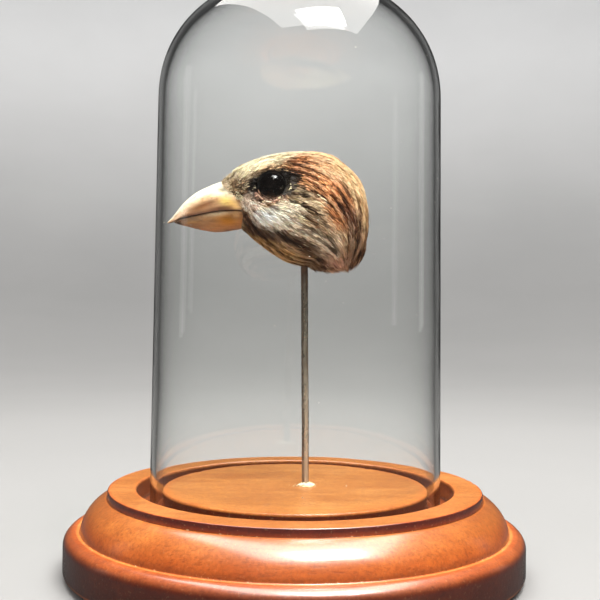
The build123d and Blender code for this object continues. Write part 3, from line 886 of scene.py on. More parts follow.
def band(x, z, line, half, soft):
    nearest = np.full_like(x, 1e9)
    for (x0, z0), (x1, z1) in zip(line[:-1], line[1:]):
        dx, dz = x1 - x0, z1 - z0
        t = np.clip(((x - x0) * dx + (z - z0) * dz) / (dx * dx + dz * dz), 0, 1)
        nearest = np.minimum(nearest, np.hypot(x - x0 - t * dx, z - z0 - t * dz))
    return 1 - smooth01((nearest - half) / soft)


def relief(points):
    """Outward relief of the head over the lofted form, with the sockets of the eyes."""
    x, y, z = points[..., 0], points[..., 1], points[..., 2]
    side = smooth01((np.abs(y) - 2.5) / 2.5)
    from_eye = np.hypot(x - EYE[0], z - EYE[2])
    total = -0.75 * (1 - smooth01((from_eye - 1.6) / 1.9)) * side
    for height, *spot in HEAD_RELIEF:
        total = total + height * gauss(x, z, *spot) * side
    return total


LOFT = head_grid()
HEAD = LOFT + grid_normals(LOFT) * (relief(LOFT) - SKIN_INSET)[..., None]
SECTIONS, AROUND = HEAD.shape[:2]
HEAD_NORMALS = grid_normals(HEAD)
HEAD_POINTS = HEAD.reshape(-1, 3)
HEAD_FACES = [
    (i * AROUND + j, i * AROUND + (j + 1) % AROUND,
     (i + 1) * AROUND + (j + 1) % AROUND, (i + 1) * AROUND + j)
    for i in range(SECTIONS - 1) for j in range(AROUND)]
HEAD_TREE = BVHTree.FromPolygons([Vector(point) for point in HEAD_POINTS], HEAD_FACES)
FACE_NORMALS = HEAD_NORMALS.reshape(-1, 3)[np.array(HEAD_FACES)].mean(1)
FACE_NORMALS /= np.linalg.norm(FACE_NORMALS, axis=1, keepdims=True)


def on_surface(points):
    """Nearest points on the head and their normals."""
    nearest, normals = np.empty_like(points), np.empty_like(points)
    for i, point in enumerate(points):
        place, _, face, _ = HEAD_TREE.find_nearest(Vector(point))
        nearest[i] = place
        normals[i] = FACE_NORMALS[face]
    return nearest, normals


# =============================================================== lie of the feathers
# place x, z and the way the feathers point there, x, z
FLOW = np.array([
    (-13.4, 53.3, 0.80, 0.60), (-10.6, 54.6, 0.85, 0.50), (-7.5, 55.9, 0.95, 0.32),
    (-2.4, 57.3, 1.0, 0.08), (2.0, 57.6, 1.0, -0.10), (5.5, 56.6, 0.90, -0.42),
    (7.8, 54.8, 0.72, -0.70), (10.4, 51.3, 0.32, -0.95), (11.5, 46.7, 0.02, -1.0),
    (11.4, 42.0, -0.15, -1.0), (-1.1, 54.8, 0.88, -0.45), (2.9, 52.7, 0.74, -0.67),
    (6.0, 49.7, 0.62, -0.78), (7.7, 47.5, 0.45, -0.90), (9.0, 44.0, 0.20, -0.98),
    (-11.5, 50.5, 0.95, 0.10), (-8.5, 51.5, 0.95, 0.15), (-8.6, 49.0, 0.90, -0.35),
    (-8.5, 47.0, 0.85, -0.50), (-6.9, 44.6, 0.75, -0.66), (-4.3, 48.5, 0.96, -0.25),
    (-4.3, 46.2, 0.93, -0.36), (-1.0, 51.0, 0.95, -0.30), (0.0, 48.5, 0.93, -0.36),
    (2.9, 46.9, 0.90, -0.43), (5.6, 45.1, 0.80, -0.60), (0.9, 43.6, 0.90, -0.43),
    (4.4, 42.8, 0.85, -0.53), (-3.9, 43.7, 0.85, -0.52), (-8.3, 43.2, 0.72, -0.69),
    (-4.3, 41.0, 0.78, -0.62), (0.0, 39.5, 0.90, -0.43), (2.0, 40.4, 0.90, -0.43),
    (5.1, 40.4, 0.70, -0.71), (5.8, 38.9, 0.30, -0.95), (8.7, 40.5, 0.30, -0.95)])
FLOW_REACH = 1.7


def flatten(directions, normals):
    """Unit directions laid into the surface."""
    return unit(directions - normals * (directions * normals).sum(1, keepdims=True))


def flow(points, normals):
    """Unit directions along the plumage."""
    x, y, z = points.T
    distance2 = (x[:, None] - FLOW[None, :, 0]) ** 2 + (z[:, None] - FLOW[None, :, 1]) ** 2
    weight = np.exp(-distance2 / (2 * FLOW_REACH ** 2)) + 1e-9
    lie = np.zeros_like(points)
    lie[:, 0] = (weight * FLOW[None, :, 2]).sum(1)
    lie[:, 2] = (weight * FLOW[None, :, 3]).sum(1)
    lie /= np.linalg.norm(lie, axis=1, keepdims=True)
    # the lines part round the eye
    eye_x, eye_z = x - EYE[0], z - EYE[2]
    radius = np.hypot(eye_x, eye_z) + 1e-9
    near = np.exp(-((radius - 2.2) / 0.9) ** 2) * (np.abs(y) > 3)
    radial = np.stack([eye_x / radius, np.zeros_like(radius), eye_z / radius], 1)
    inward = np.minimum((lie * radial).sum(1), 0)
    return flatten(lie - radial * (inward * near)[:, None], normals)


def toward_bill(points, normals):
    lie = np.zeros_like(points)
    lie[:, 0] = -1.0
    lie[:, 2] = -0.15 + 0.5 * np.clip((48.5 - points[:, 2]) / 4, -1, 1)
    return flatten(lie, normals)


# =============================================================== colours of the plumage
def above_crown_line(x, z):
    return smooth01((z - (54.3 + 0.14 * (x + 3) * (x > -3))) / 0.8)


# Zones laid over one another in this order. Columns: mask and its arguments, strength,
# core colour, margin colour, then darkness of the shaft, scatter of tone, streaking along
# the lie of the feathers, share of pale flecks.
ZONES = {
    "crown": (above_crown_line, (), 1,
        (206, 180, 142), (242, 222, 188), (0.08, 0.14, 0.34, 0.0)),
    # pale crown feathers with a painted highlight along the top front
    "crown_front_painted_highlight": (band, ([(-10.5, 54.9), (-6.0, 56.6), (-1.0, 57.4)], 1.0, 1.0), 1,
        (222, 200, 162), (250, 234, 204), (0.06, 0.12, 0.30, 0.0)),
    "forehead": (gauss, (-11.6, 54.0, 2.6, 1.3, 38), 1,
        (170, 144, 108), (240, 220, 182), (0.25, 0.30, 0.7, 0.12)),
    "forehead_low": (gauss, (-9.2, 53.2, 2.4, 0.8, 26), 1,
        (176, 152, 118), (240, 220, 184), (0.2, 0.30, 0.8, 0.10)),
    "crown_warm": (gauss, (4.0, 56.7, 5.2, 1.25, -12), 1,
        (196, 140, 92), (236, 190, 144), (0.10, 0.18, 0.5, 0.0)),
    "rear_crown": (band, ([(6.8, 55.4), (9.4, 52.6), (11.2, 48.8)], 0.95, 1.4), 1,
        (196, 146, 98), (238, 200, 154), (0.10, 0.18, 0.6, 0.0)),
    "nape_tan": (band, ([(11.2, 48.8), (11.8, 45.6)], 0.8, 1.2), 1,
        (170, 120, 78), (228, 184, 134), (0.2, 0.24, 0.7, 0.0)),
    "nape_low": (band, ([(11.6, 43.8), (10.8, 39.4)], 1.1, 1.4), 1,
        (74, 50, 34), (168, 122, 84), (0.3, 0.28, 0.9, 0.0)),
    "ear": (gauss, (3.2, 46.5, 5.2, 3.2, -25), 1,
        (158, 122, 90), (218, 190, 154), (0.35, 0.24, 1.0, 0.02)),
    "side_orange": (gauss, (6.6, 45.0, 2.0, 2.4, -60), 1,
        (136, 88, 56), (186, 138, 98), (0.25, 0.24, 0.9, 0.0)),
    "chestnut": (band, ([(-0.4, 54.2), (3.0, 52.5), (5.6, 49.6), (6.8, 47.4)], 2.1, 1.1), 1,
        (168, 98, 56), (214, 152, 104), (0.18, 0.22, 1.0, 0.0)),
    "post_ocular": (gauss, (0.0, 53.4, 1.7, 1.8, -30), 0.8,
        (112, 66, 42), (172, 116, 78), (0.2, 0.3, 0.9, 0.0)),
    "post_dark": (gauss, (2.4, 49.9, 1.5, 1.2, -40), 0.85,
        (108, 62, 40), (172, 118, 84), (0.2, 0.3, 0.9, 0.0)),
    # painted highlight on the upper chestnut
    "chestnut_painted_highlight": (gauss, (4.6, 53.7, 3.0, 1.2, -34), 0.9,
        (212, 156, 108), (242, 200, 156), (0.05, 0.16, 0.6, 0.0)),
    "chestnut_deep": (gauss, (5.8, 49.8, 2.6, 1.1, -52), 0.85,
        (164, 84, 40), (216, 138, 84), (0.2, 0.22, 1.0, 0.0)),
    "nape_patch": (band, ([(7.2, 48.0), (8.4, 46.9), (9.1, 45.2), (9.3, 43.8)], 0.80, 0.9), 0.97,
        (42, 21, 12), (112, 58, 32), (0.3, 0.30, 0.7, 0.0)),
    # painted shade down the back of the neck
    "nape_painted_shade": (band, ([(9.2, 44.2), (9.5, 42.0), (8.8, 39.6)], 0.85, 0.9), 0.85,
        (66, 42, 28), (136, 96, 66), (0.3, 0.30, 0.9, 0.0)),
    "lores": (oval, (-10.2, 50.9, 3.0, 1.7, 0.5, 8), 1,
        (78, 58, 42), (172, 138, 102), (0.10, 0.45, 0.6, 0.36)),
    "lores_low": (gauss, (-8.4, 49.4, 1.7, 1.1, -38), 1,
        (78, 48, 34), (168, 122, 92), (0.10, 0.40, 0.7, 0.18)),
    "orbit": (oval, (-4.3, 51.2, 4.5, 2.65, 0.20, 4), 1,
        (7, 5, 5), (20, 14, 12), (0.0, 0.2, 0.0, 0.015)),
    "brow": (band, ([(-6.4, 52.9), (-4.0, 53.75), (-1.6, 53.7)], 0.24, 0.5), 1,
        (9, 6, 6), (34, 24, 19), (0.0, 0.2, 0.0, 0.0)),
    "orbit_rear": (band, ([(-2.4, 53.4), (-0.7, 52.7)], 0.62, 0.5), 0.96,
        (10, 7, 6), (36, 24, 19), (0.0, 0.25, 0.0, 0.0)),
    "orbit_front": (band, ([(-8.0, 51.9), (-6.9, 50.9)], 0.5, 0.5), 0.95,
        (10, 7, 6), (36, 24, 19), (0.0, 0.25, 0.0, 0.03)),
    "orbit_specks": (band, ([(-1.9, 50.2), (-1.0, 51.6)], 0.25, 0.4), 0.6,
        (26, 19, 16), (110, 92, 78), (0.0, 0.5, 0.0, 0.18)),
    "under_eye": (band, ([(-7.0, 49.8), (-6.2, 48.9), (-4.3, 48.4), (-2.4, 48.9)], 0.28, 0.45), 1,
        (96, 62, 48), (206, 164, 140), (0.1, 0.40, 0.6, 0.30)),
    "grey_patch": (gauss, (0.5, 49.5, 1.9, 1.4, -34), 1,
        (82, 66, 50), (172, 150, 118), (0.4, 0.30, 1.0, 0.14)),
    "ear_dark": (gauss, (0.6, 47.7, 1.5, 1.2, -20), 0.9,
        (88, 66, 48), (166, 138, 106), (0.3, 0.30, 1.0, 0.06)),
    "lid_streaks": (band, ([(-8.6, 48.8), (-7.2, 46.9), (-6.6, 45.6)], 0.85, 0.5), 1,
        (222, 184, 156), (255, 244, 228), (0.10, 0.18, 1.0, 0.0)),
    "cheek": (band, ([(-5.9, 45.8), (-4.2, 45.95), (-2.6, 46.3)], 1.25, 0.6), 1,
        (255, 250, 240), (255, 255, 252), (0.02, 0.06, 0.22, 0.0)),
    "cheek_back": (band, ([(-2.8, 46.9), (-1.3, 47.3)], 0.8, 0.8), 0.85,
        (224, 208, 178), (248, 236, 212), (0.08, 0.14, 0.7, 0.0)),
    "cheek_low": (band, ([(-7.0, 44.9), (-4.6, 44.5)], 0.40, 0.5), 0.9,
        (240, 220, 192), (255, 244, 228), (0.12, 0.2, 0.6, 0.0)),
    "gape": (oval, (-8.7, 45.7, 0.75, 1.25, 0.5, 12), 1,
        (66, 44, 34), (148, 110, 84), (0.1, 0.3, 0.5, 0.06)),
    "mouth_corner": (band, ([(-9.6, 47.6), (-8.6, 46.4), (-8.0, 45.0)], 0.22, 0.4), 0.7,
        (96, 64, 46), (168, 126, 96), (0.1, 0.3, 0.6, 0.0)),
    "bill_mottle": (gauss, (-10.9, 51.6, 1.2, 0.8, 30), 0.7,
        (92, 68, 48), (190, 156, 118), (0.2, 0.5, 0.8, 0.25)),
    "ear_streak": (band, ([(-0.4, 46.5), (2.2, 45.8), (4.4, 44.6)], 0.22, 0.4), 0.9,
        (46, 31, 22), (110, 80, 54), (0.2, 0.3, 0.5, 0.0)),
    "ear_light": (band, ([(-3.6, 44.9), (-1.2, 44.5), (0.6, 43.9), (2.8, 43.0), (4.6, 41.7),
                          (6.0, 40.2)], 0.5, 0.5), 0.95,
        (236, 212, 180), (255, 242, 220), (0.15, 0.18, 0.75, 0.0)),
    "throat": (band, ([(-9.0, 42.9), (-5.2, 40.7), (-1.4, 38.9), (1.0, 38.3)], 1.1, 1.5), 1,
        (140, 100, 58), (212, 172, 116), (0.4, 0.26, 1.0, 0.02)),
    "malar_dark": (band, ([(-8.2, 44.8), (-7.2, 44.2), (-6.0, 43.6), (-3.9, 43.25), (-1.4, 42.5),
                           (0.3, 41.8), (2.4, 40.9)], 0.72, 0.42), 0.97,
        (34, 22, 17), (92, 64, 46), (0.10, 0.28, 0.45, 0.03)),
    "malar_low": (band, ([(-1.0, 41.2), (2.4, 39.9), (4.8, 39.2)], 0.5, 0.7), 0.8,
        (62, 42, 30), (120, 88, 62), (0.2, 0.28, 0.8, 0.0)),
    "neck_white": (gauss, (4.8, 41.3, 1.9, 1.5, -40), 0.92,
        (218, 186, 156), (252, 236, 214), (0.3, 0.20, 1.0, 0.0)),
    "neck_pink": (gauss, (6.4, 38.7, 2.2, 1.2, 0), 0.9,
        (176, 126, 106), (218, 174, 152), (0.12, 0.2, 0.5, 0.0)),
    "neck_under": (band, ([(0.6, 38.4), (3.4, 37.9)], 0.7, 0.9), 0.85,
        (52, 35, 26), (110, 80, 58), (0.2, 0.3, 0.8, 0.0)),
    "chin": (gauss, (-9.6, 44.2, 0.9, 0.7, -30), 1,
        (26, 18, 15), (64, 46, 36), (0.0, 0.3, 0.0, 0.0)),
}


def zone_colour(points):
    """Core colour, margin colour and the four traits (shaft, scatter, streak, fleck)."""
    x, z = points[:, 0], points[:, 2]
    core = np.tile(srgb(160, 122, 86), (len(points), 1))
    margin = np.tile(srgb(206, 176, 138), (len(points), 1))
    traits = np.tile(np.array([0.2, 0.2, 0.7, 0.0]), (len(points), 1))
    for mask, args, strength, zone_core, zone_margin, zone_traits in ZONES.values():
        share = np.clip(mask(x, z, *args) * strength, 0, 1)[:, None]
        core += (srgb(*zone_core) - core) * share
        margin += (srgb(*zone_margin) - margin) * share
        traits += (np.array(zone_traits) - traits) * share
    return core, margin, traits


def streak_field(points, grain=0.72, reach=2.9, steps=5):
    """Noise drawn out along the lie of the feathers, about -1 to 1."""
    total = np.zeros(len(points))
    for way in (-1, 1):
        current = points.copy()
        for _ in range(steps):
            nearest, normals = on_surface(current)
            total += noise_at(nearest / grain)
            current = nearest + flow(nearest, normals) * (way * reach / steps)
    return np.clip((total - total.mean()) / (total.std() + 1e-9) * 0.58, -1.6, 1.6)


# =============================================================== skin
def skin_piece():
    """Closed shell under the feathers. The inner wall stops short of the nape."""
    inner_rows = SECTIONS - 14
    inner = HEAD - HEAD_NORMALS * 1.1
    nape = HEAD[-1].mean(0) + HEAD_NORMALS[-1].mean(0) * 0.02
    points = np.vstack([
        HEAD_POINTS, inner[:inner_rows].reshape(-1, 3), nape[None],
        inner[inner_rows - 1].mean(0)[None]])
    first = SECTIONS * AROUND
    faces = list(HEAD_FACES)
    for i in range(inner_rows - 1):
        row, after = first + i * AROUND, first + (i + 1) * AROUND
        for j in range(AROUND):
            j2 = (j + 1) % AROUND
            faces.append((row + j, after + j, after + j2, row + j2))
    outer_end = (SECTIONS - 1) * AROUND
    inner_end = first + (inner_rows - 1) * AROUND
    for j in range(AROUND):
        j2 = (j + 1) % AROUND
        faces.append((j, first + j, first + j2, j2))
        faces.append((outer_end + j, outer_end + j2, len(points) - 2))
        faces.append((inner_end + j, len(points) - 1, inner_end + j2))
    core, margin, _ = zone_colour(points)
    add_piece("head_skin_shell", points, faces, SKIN, "plumage", "head_skin",
              colours=core * 0.62 + 0.12 * margin)


skin_piece()

# =============================================================== feathers
# A barb is a three-sided blade: four rings of three points (two edges, a ridge) and a tip.
RING_WIDTH = np.array([0.75, 1.0, 0.95, 0.66, 0.0])
RING_THICK = np.array([1.0, 1.0, 0.9, 0.7, 0.0])
RING_SHADE = np.array([0.70, 0.92, 1.0, 1.04, 1.02])
RINGS = len(RING_WIDTH)
BARB_POINTS = 3 * (RINGS - 1) + 1
POINT_SHADE = np.append(np.repeat(RING_SHADE[:-1], 3), RING_SHADE[-1])
EDGE_SHADE = np.append(np.tile((0.93, 0.93, 1.0), RINGS - 1), 1.0)
BARB_QUADS = [
    (ring + k, ring + (k + 1) % 3, ring + 3 + (k + 1) % 3, ring + 3 + k)
    for ring in range(0, 3 * (RINGS - 2), 3) for k in range(3)]
BARB_TRIANGLES = [(9, 10, 12), (10, 11, 12), (11, 9, 12), (0, 2, 1)]
BARB_SINK = 0.14    # depth of the roots
BARB_THICK = 0.036

AREA = np.linalg.norm(
    np.cross(np.gradient(HEAD, axis=0), around_difference(HEAD) / 2), axis=2).ravel()


def sample_roots(count, keep, density=None):
    """Root points, spread evenly where keep(x, y, z) holds, or by density(x, y, z)."""
    kept_area = AREA * keep(*HEAD_POINTS.T)
    weight = kept_area.copy()
    if density is not None:
        weight = weight * density(*HEAD_POINTS.T)
    weight /= weight.sum()
    chosen = RNG.choice(len(weight), size=count * 3, p=weight)
    shift = RNG.uniform(-0.5, 0.5, (len(chosen), 2))
    i, j = chosen // AROUND, chosen % AROUND
    before, after = np.clip(i - 1, 0, SECTIONS - 1), np.clip(i + 1, 0, SECTIONS - 1)
    left, right = (j - 1) % AROUND, (j + 1) % AROUND
    places = (HEAD[i, j] + (HEAD[after, j] - HEAD[before, j]) * 0.5 * shift[:, :1]
              + (HEAD[i, right] - HEAD[i, left]) * 0.5 * shift[:, 1:])
    # one root to a cell first, so that they don't clump
    cell = math.sqrt(float(kept_area.sum()) / count) * 0.92
    seen, picked = set(), []
    for index, place in enumerate(places):
        key = tuple(np.floor(place / cell).astype(int))
        if key in seen:
            continue
        seen.add(key)
        picked.append(index)
        if len(picked) == count:
            break
    taken = set(picked)
    spare = [index for index in range(len(places)) if index not in taken]
    return places[picked + spare[: count - len(picked)]]


def barb_colours(roots, feather, across, middle, tone):
    """Colours of all the points of all barbs.

    feather is the number of each barb's feather, across its place in it from -1 to 1,
    middle the point half way along it, and tone each feather's own lightness.
    """
    count = len(feather)
    root_core, root_margin, traits = zone_colour(roots)
    mid_core, mid_margin, _ = zone_colour(middle)
    shaft, scatter, streak, fleck = traits.T
    scatter, streak = scatter[feather], streak[feather]
    core = root_core[feather] * 0.4 + mid_core * 0.6
    margin = root_margin[feather] * 0.4 + mid_margin * 0.6
    lie = streak_field(middle)
    barb_tone = RNG.normal(0, 1, count)
    share = 0.45 + 0.62 * lie + 0.25 * (np.abs(across) - 0.5) + 0.13 * barb_tone
    share = np.clip(share, 0, 1)
    share = np.where(RNG.random(count) < scatter * 0.55, 1 - share, share)
    colour = core * (1 - share[:, None]) + margin * share[:, None]
    dark = (smooth01((-lie - 0.10) / 0.50) * streak)[:, None]
    light = (smooth01((lie - 0.12) / 0.50) * np.minimum(streak * 1.2, 1))[:, None]
    colour = colour * (1 - dark) + (core * 0.14 + srgb(44, 28, 19) * 0.5) * dark
    colour = colour * (1 - light) + (margin * 0.90 + srgb(255, 242, 218) * 0.10) * light
    pale = (RNG.random(len(roots)) < fleck)[feather] & (RNG.random(count) < 0.85)
    pale_colour = srgb(226, 208, 172) * RNG.uniform(0.75, 1.1, (count, 1))
    colour = np.where(pale[:, None], pale_colour, colour)
    on_shaft = shaft[feather] * (np.abs(across) < 0.34)
    colour = colour * (1 - 0.6 * on_shaft[:, None])
    gain = np.exp(scatter * (0.60 * tone[feather] + 0.42 * barb_tone))
    colour = colour * np.clip(gain, 0.25, 2.2)[:, None]
    colour = np.clip(colour * (1 + RNG.normal(0, 0.035, (count, 3))), 0.002, 0.93)
    colours = colour[:, None] * POINT_SHADE[None, :, None] * EDGE_SHADE[None, :, None]
    return np.clip(colours, 0.001, 0.95)


def grow(roots, length, width, barbs, fan=0.10, lift=(0.12, 0.26), barb_width=0.21, hang=0.0,
         directions=flow, stray=0.006):
    """Points and colours of the barbs, one small feather to a root, its middle barbs longest.

    length and width are functions of the roots. fan spreads the barbs, lift is the range of
    their height, hang lets the tips droop, stray is the share that stands up.
    """
    count = len(roots)
    base, normals = on_surface(roots)
    lie = directions(base, normals)
    yaw = RNG.normal(0, 0.07, count)
    side = np.cross(normals, lie)
    lie = lie * np.cos(yaw)[:, None] + side * np.sin(yaw)[:, None]
    side = np.cross(normals, lie)
    lengths = length(base) * RNG.uniform(0.8, 1.2, count)
    widths = width(base) * RNG.uniform(0.8, 1.2, count)
    tone = RNG.normal(0, 1, count)

    # from here on one row per barb
    across = np.tile(np.linspace(-1, 1, barbs), count) + RNG.normal(0, 0.10, count * barbs)
    feather = np.repeat(np.arange(count), barbs)
    total = len(feather)
    barb_roots = base[feather] + side[feather] * (across * widths[feather] * 0.5)[:, None]
    taper = 1 - 0.42 * np.abs(across) ** 1.8
    barb_length = lengths[feather] * taper * RNG.uniform(0.86, 1.1, total)
    advance = 0.16 * lengths[feather] * (1 - np.abs(across)) - 0.1
    current = barb_roots + lie[feather] * advance[:, None]
    height = RNG.uniform(lift[0], lift[1], count)[feather] * RNG.uniform(0.75, 1.25, total)
    wild = RNG.random(total) < stray
    height = np.where(wild, height * RNG.uniform(1.4, 2.4, total), height)
    barb_yaw = across * fan + RNG.normal(0, 0.05, total)

    spine = np.zeros((total, RINGS, 3))
    sides = np.zeros_like(spine)
    ups = np.zeros_like(spine)
    for ring, t in enumerate(np.linspace(0, 1, RINGS)):
        place, up = on_surface(current)
        ahead = directions(place, up)
        angle = barb_yaw * (1 - 0.6 * t) + yaw[feather] * 0.8
        ahead = (ahead * np.cos(angle)[:, None]
                 + np.cross(up, ahead) * np.sin(angle)[:, None])
        rise = np.sin(np.clip(t * 1.25, 0, 1) * math.pi / 2)
        rise = -BARB_SINK + (height + BARB_SINK) * rise - 0.06 * (t > 0.9)
        droop = (barb_length * (hang * t ** 1.2))[:, None]
        spine[:, ring] = place + up * rise[:, None]
        spine[:, ring] += (np.array([0.12, 0, -1.0]) * droop
                           + np.sign(place[:, 1:2]) * np.array([0, -0.15, 0]) * droop)
        ups[:, ring] = up
        sides[:, ring] = np.cross(up, ahead)
        current = place + ahead * (barb_length / (RINGS - 1))[:, None]

    # nothing grows across the glass eyes
    clear = RNG.uniform(2.08, 2.36, total)[:, None]
    eye_x, eye_z = spine[..., 0] - EYE[0], spine[..., 2] - EYE[2]
    radius = np.hypot(eye_x, eye_z * 1.07)
    inside = (radius < clear) & (np.abs(spine[..., 1]) > 2)
    push = np.where(inside, clear / np.maximum(radius, 1e-6), 1.0)
    spine[..., 0] = EYE[0] + eye_x * push
    spine[..., 2] = EYE[2] + eye_z * push

    ring_width = barb_width * RING_WIDTH[None] * RNG.uniform(0.8, 1.25, total)[:, None]
    half = sides * (ring_width / 2)[..., None]
    thick = (BARB_THICK * RING_THICK)[None, :, None]
    under = ups * (thick * 0.3)
    blade = np.stack([spine - half - under, spine + half - under, spine + ups * (thick * 0.7)], 2)
    points = np.concatenate([blade[:, :-1].reshape(total, -1, 3), spine[:, -1:]], 1)
    middle = barb_roots + lie[feather] * (barb_length * 0.5)[:, None]
    return points, barb_colours(base, feather, across, middle, tone)


def tract(name, points, colours):
    first = (np.arange(len(points)) * BARB_POINTS)[:, None, None]
    faces = []
    for pattern in (BARB_QUADS, BARB_TRIANGLES):
        pattern = np.array(pattern)
        faces += (pattern[None] + first).reshape(-1, pattern.shape[1]).tolist()
    add_piece(name, points.reshape(-1, 3), faces, PLUMAGE, "plumage", "head_skin",
              colours=colours.reshape(-1, 3))


def feather_length(points):
    x, z = points[:, 0], points[:, 2]
    length = 1.15 + 1.55 * smooth01((x + 12.5) / 11.0)
    near_eye = np.hypot(x - EYE[0], z - EYE[2]) < 3.3
    length = np.where(near_eye, np.minimum(length, 0.95), length)
    return length + 0.5 * smooth01((x - 4) / 6)


def feather_width(points):
    return 0.62 + 0.45 * smooth01((points[:, 0] + 12) / 12.0)


TRACTS = ("feathers_crown", "feathers_lores", "feathers_behind_eye", "feathers_cheek",
          "feathers_throat", "feathers_nape")
CROWN, LORES, BEHIND_EYE, CHEEK, THROAT, NAPE = range(len(TRACTS))


def tract_of(points):
    """Which tract each root belongs to; later lines overrule earlier ones."""
    x, z = points[:, 0], points[:, 2]
    key = np.full(len(points), CHEEK)
    key[z > 53.4 + 0.12 * np.clip(x + 2, 0, None) * (x < 4)] = CROWN
    key[(x > 8.4) & (z < 55)] = NAPE
    key[(x < -6.6) & (z <= 53.4) & (z > 47.2)] = LORES
    key[(z < 44.6 - 0.15 * (x + 4)) & (x < 8.4)] = THROAT
    key[(key == CHEEK) & (x > -1.2) & (z > 48.2 - 0.2 * x)] = BEHIND_EYE
    return key


def main_tracts():
    roots = sample_roots(
        3100,
        keep=lambda x, y, z: (np.hypot(x - EYE[0], z - EYE[2]) > 2.35) | (np.abs(y) < 3.0),
        density=lambda x, y, z: 1.0 + 1.3 * (x < -6.5) + 0.5 * (np.abs(y) > 3))
    keys = tract_of(roots)
    for key, name in enumerate(TRACTS):
        chosen = roots[keys == key]
        if key == LORES:
            tract(name, *grow(
                chosen, lambda base: feather_length(base) * 0.8,
                lambda base: feather_width(base) * 0.8, barbs=6, fan=0.30, lift=(0.10, 0.34),
                barb_width=0.15, stray=0.04))
        else:
            tract(name, *grow(chosen, feather_length, feather_width, barbs=8))


def bill_edge():
    """Short bristles round the base of the bill, and a pale tuft that points along it."""
    i = RNG.integers(1, 9, 240)
    j = RNG.integers(0, AROUND, 240)
    roots = HEAD[i, j] + RNG.normal(0, 0.05, (240, 3))
    points, colours = grow(
        roots, lambda base: 0.95, lambda base: 0.5, barbs=6, fan=0.4, lift=(0.10, 0.30),
        barb_width=0.12, stray=0.05)
    roots = sample_roots(46, lambda x, y, z: (x < -11.2) & (x > -13.0) & (z > 50.6) & (z < 52.6))
    tuft_points, tuft_colours = grow(
        roots, lambda base: 1.15, lambda base: 0.45, barbs=5, fan=0.35, lift=(0.15, 0.5),
        barb_width=0.12, directions=toward_bill, stray=0.05)
    pale = srgb(240, 214, 184) * RNG.uniform(0.45, 0.95, (len(tuft_colours), 1, 1))
    colours = np.concatenate([colours, tuft_colours * 0.25 + pale])
    tract("feathers_bill_edge", np.concatenate([points, tuft_points]), np.clip(colours, 0, 0.95))


def neck_fringe():
    """Ragged edge of the cut neck."""
    roots = sample_roots(290, lambda x, y, z: (
        ((z < 39.6) & (x > 1.4) & (x < 11.4)) | ((z < 42.6) & (x > 9.0))))
    tract("feathers_neck_fringe", *grow(
        roots, lambda base: 1.3, lambda base: 0.7, barbs=7, fan=0.4, lift=(0.05, 0.25),
        barb_width=0.13, hang=0.55, stray=0.1))


main_tracts()
bill_edge()
neck_fringe()


# =============================================================== eyes and lids
def eye_piece(side, name, replaces):
    """A ball, slightly raised at its outer pole. side is -1 or 1, the sign of its y."""
    rings = 48
    outline = []
    for i in range(rings + 1):
        angle = math.pi * i / rings
        radius = EYE_R * (1 + 0.012 * math.exp(-(angle / 0.6) ** 2))
        outline.append((radius * math.sin(angle), radius * math.cos(angle)))
    turned, faces, _ = lathe(outline, 72, closed=False)
    # the lathe's axis becomes Y
    x, z, outward = turned.T
    points = np.stack([EYE[0] + x, side * (EYE[1] + outward), EYE[2] + z], 1)
    add_piece(name, points, faces, EYE_GLASS, "eye_glass", replaces)


# folds below the eye: start and end angle, radius from the eye's centre, tube radius
LID_FOLDS = (
    (196, 226, 2.42, 0.13), (230, 262, 2.38, 0.12), (266, 292, 2.44, 0.13),
    (298, 330, 2.40, 0.11), (212, 240, 2.78, 0.12), (247, 270, 2.84, 0.12),
    (276, 300, 2.80, 0.10))
LID_DARK, LID_PINK, LID_TAN, LID_CREAM = (
    srgb(9, 6, 6), srgb(214, 170, 146), srgb(180, 136, 110), srgb(240, 220, 196))


def lid_rim_colour(angle):
    share = smooth01((-math.sin(angle) - 0.55) / 0.4)
    return LID_DARK * (1 - share) + LID_PINK * share * 0.5


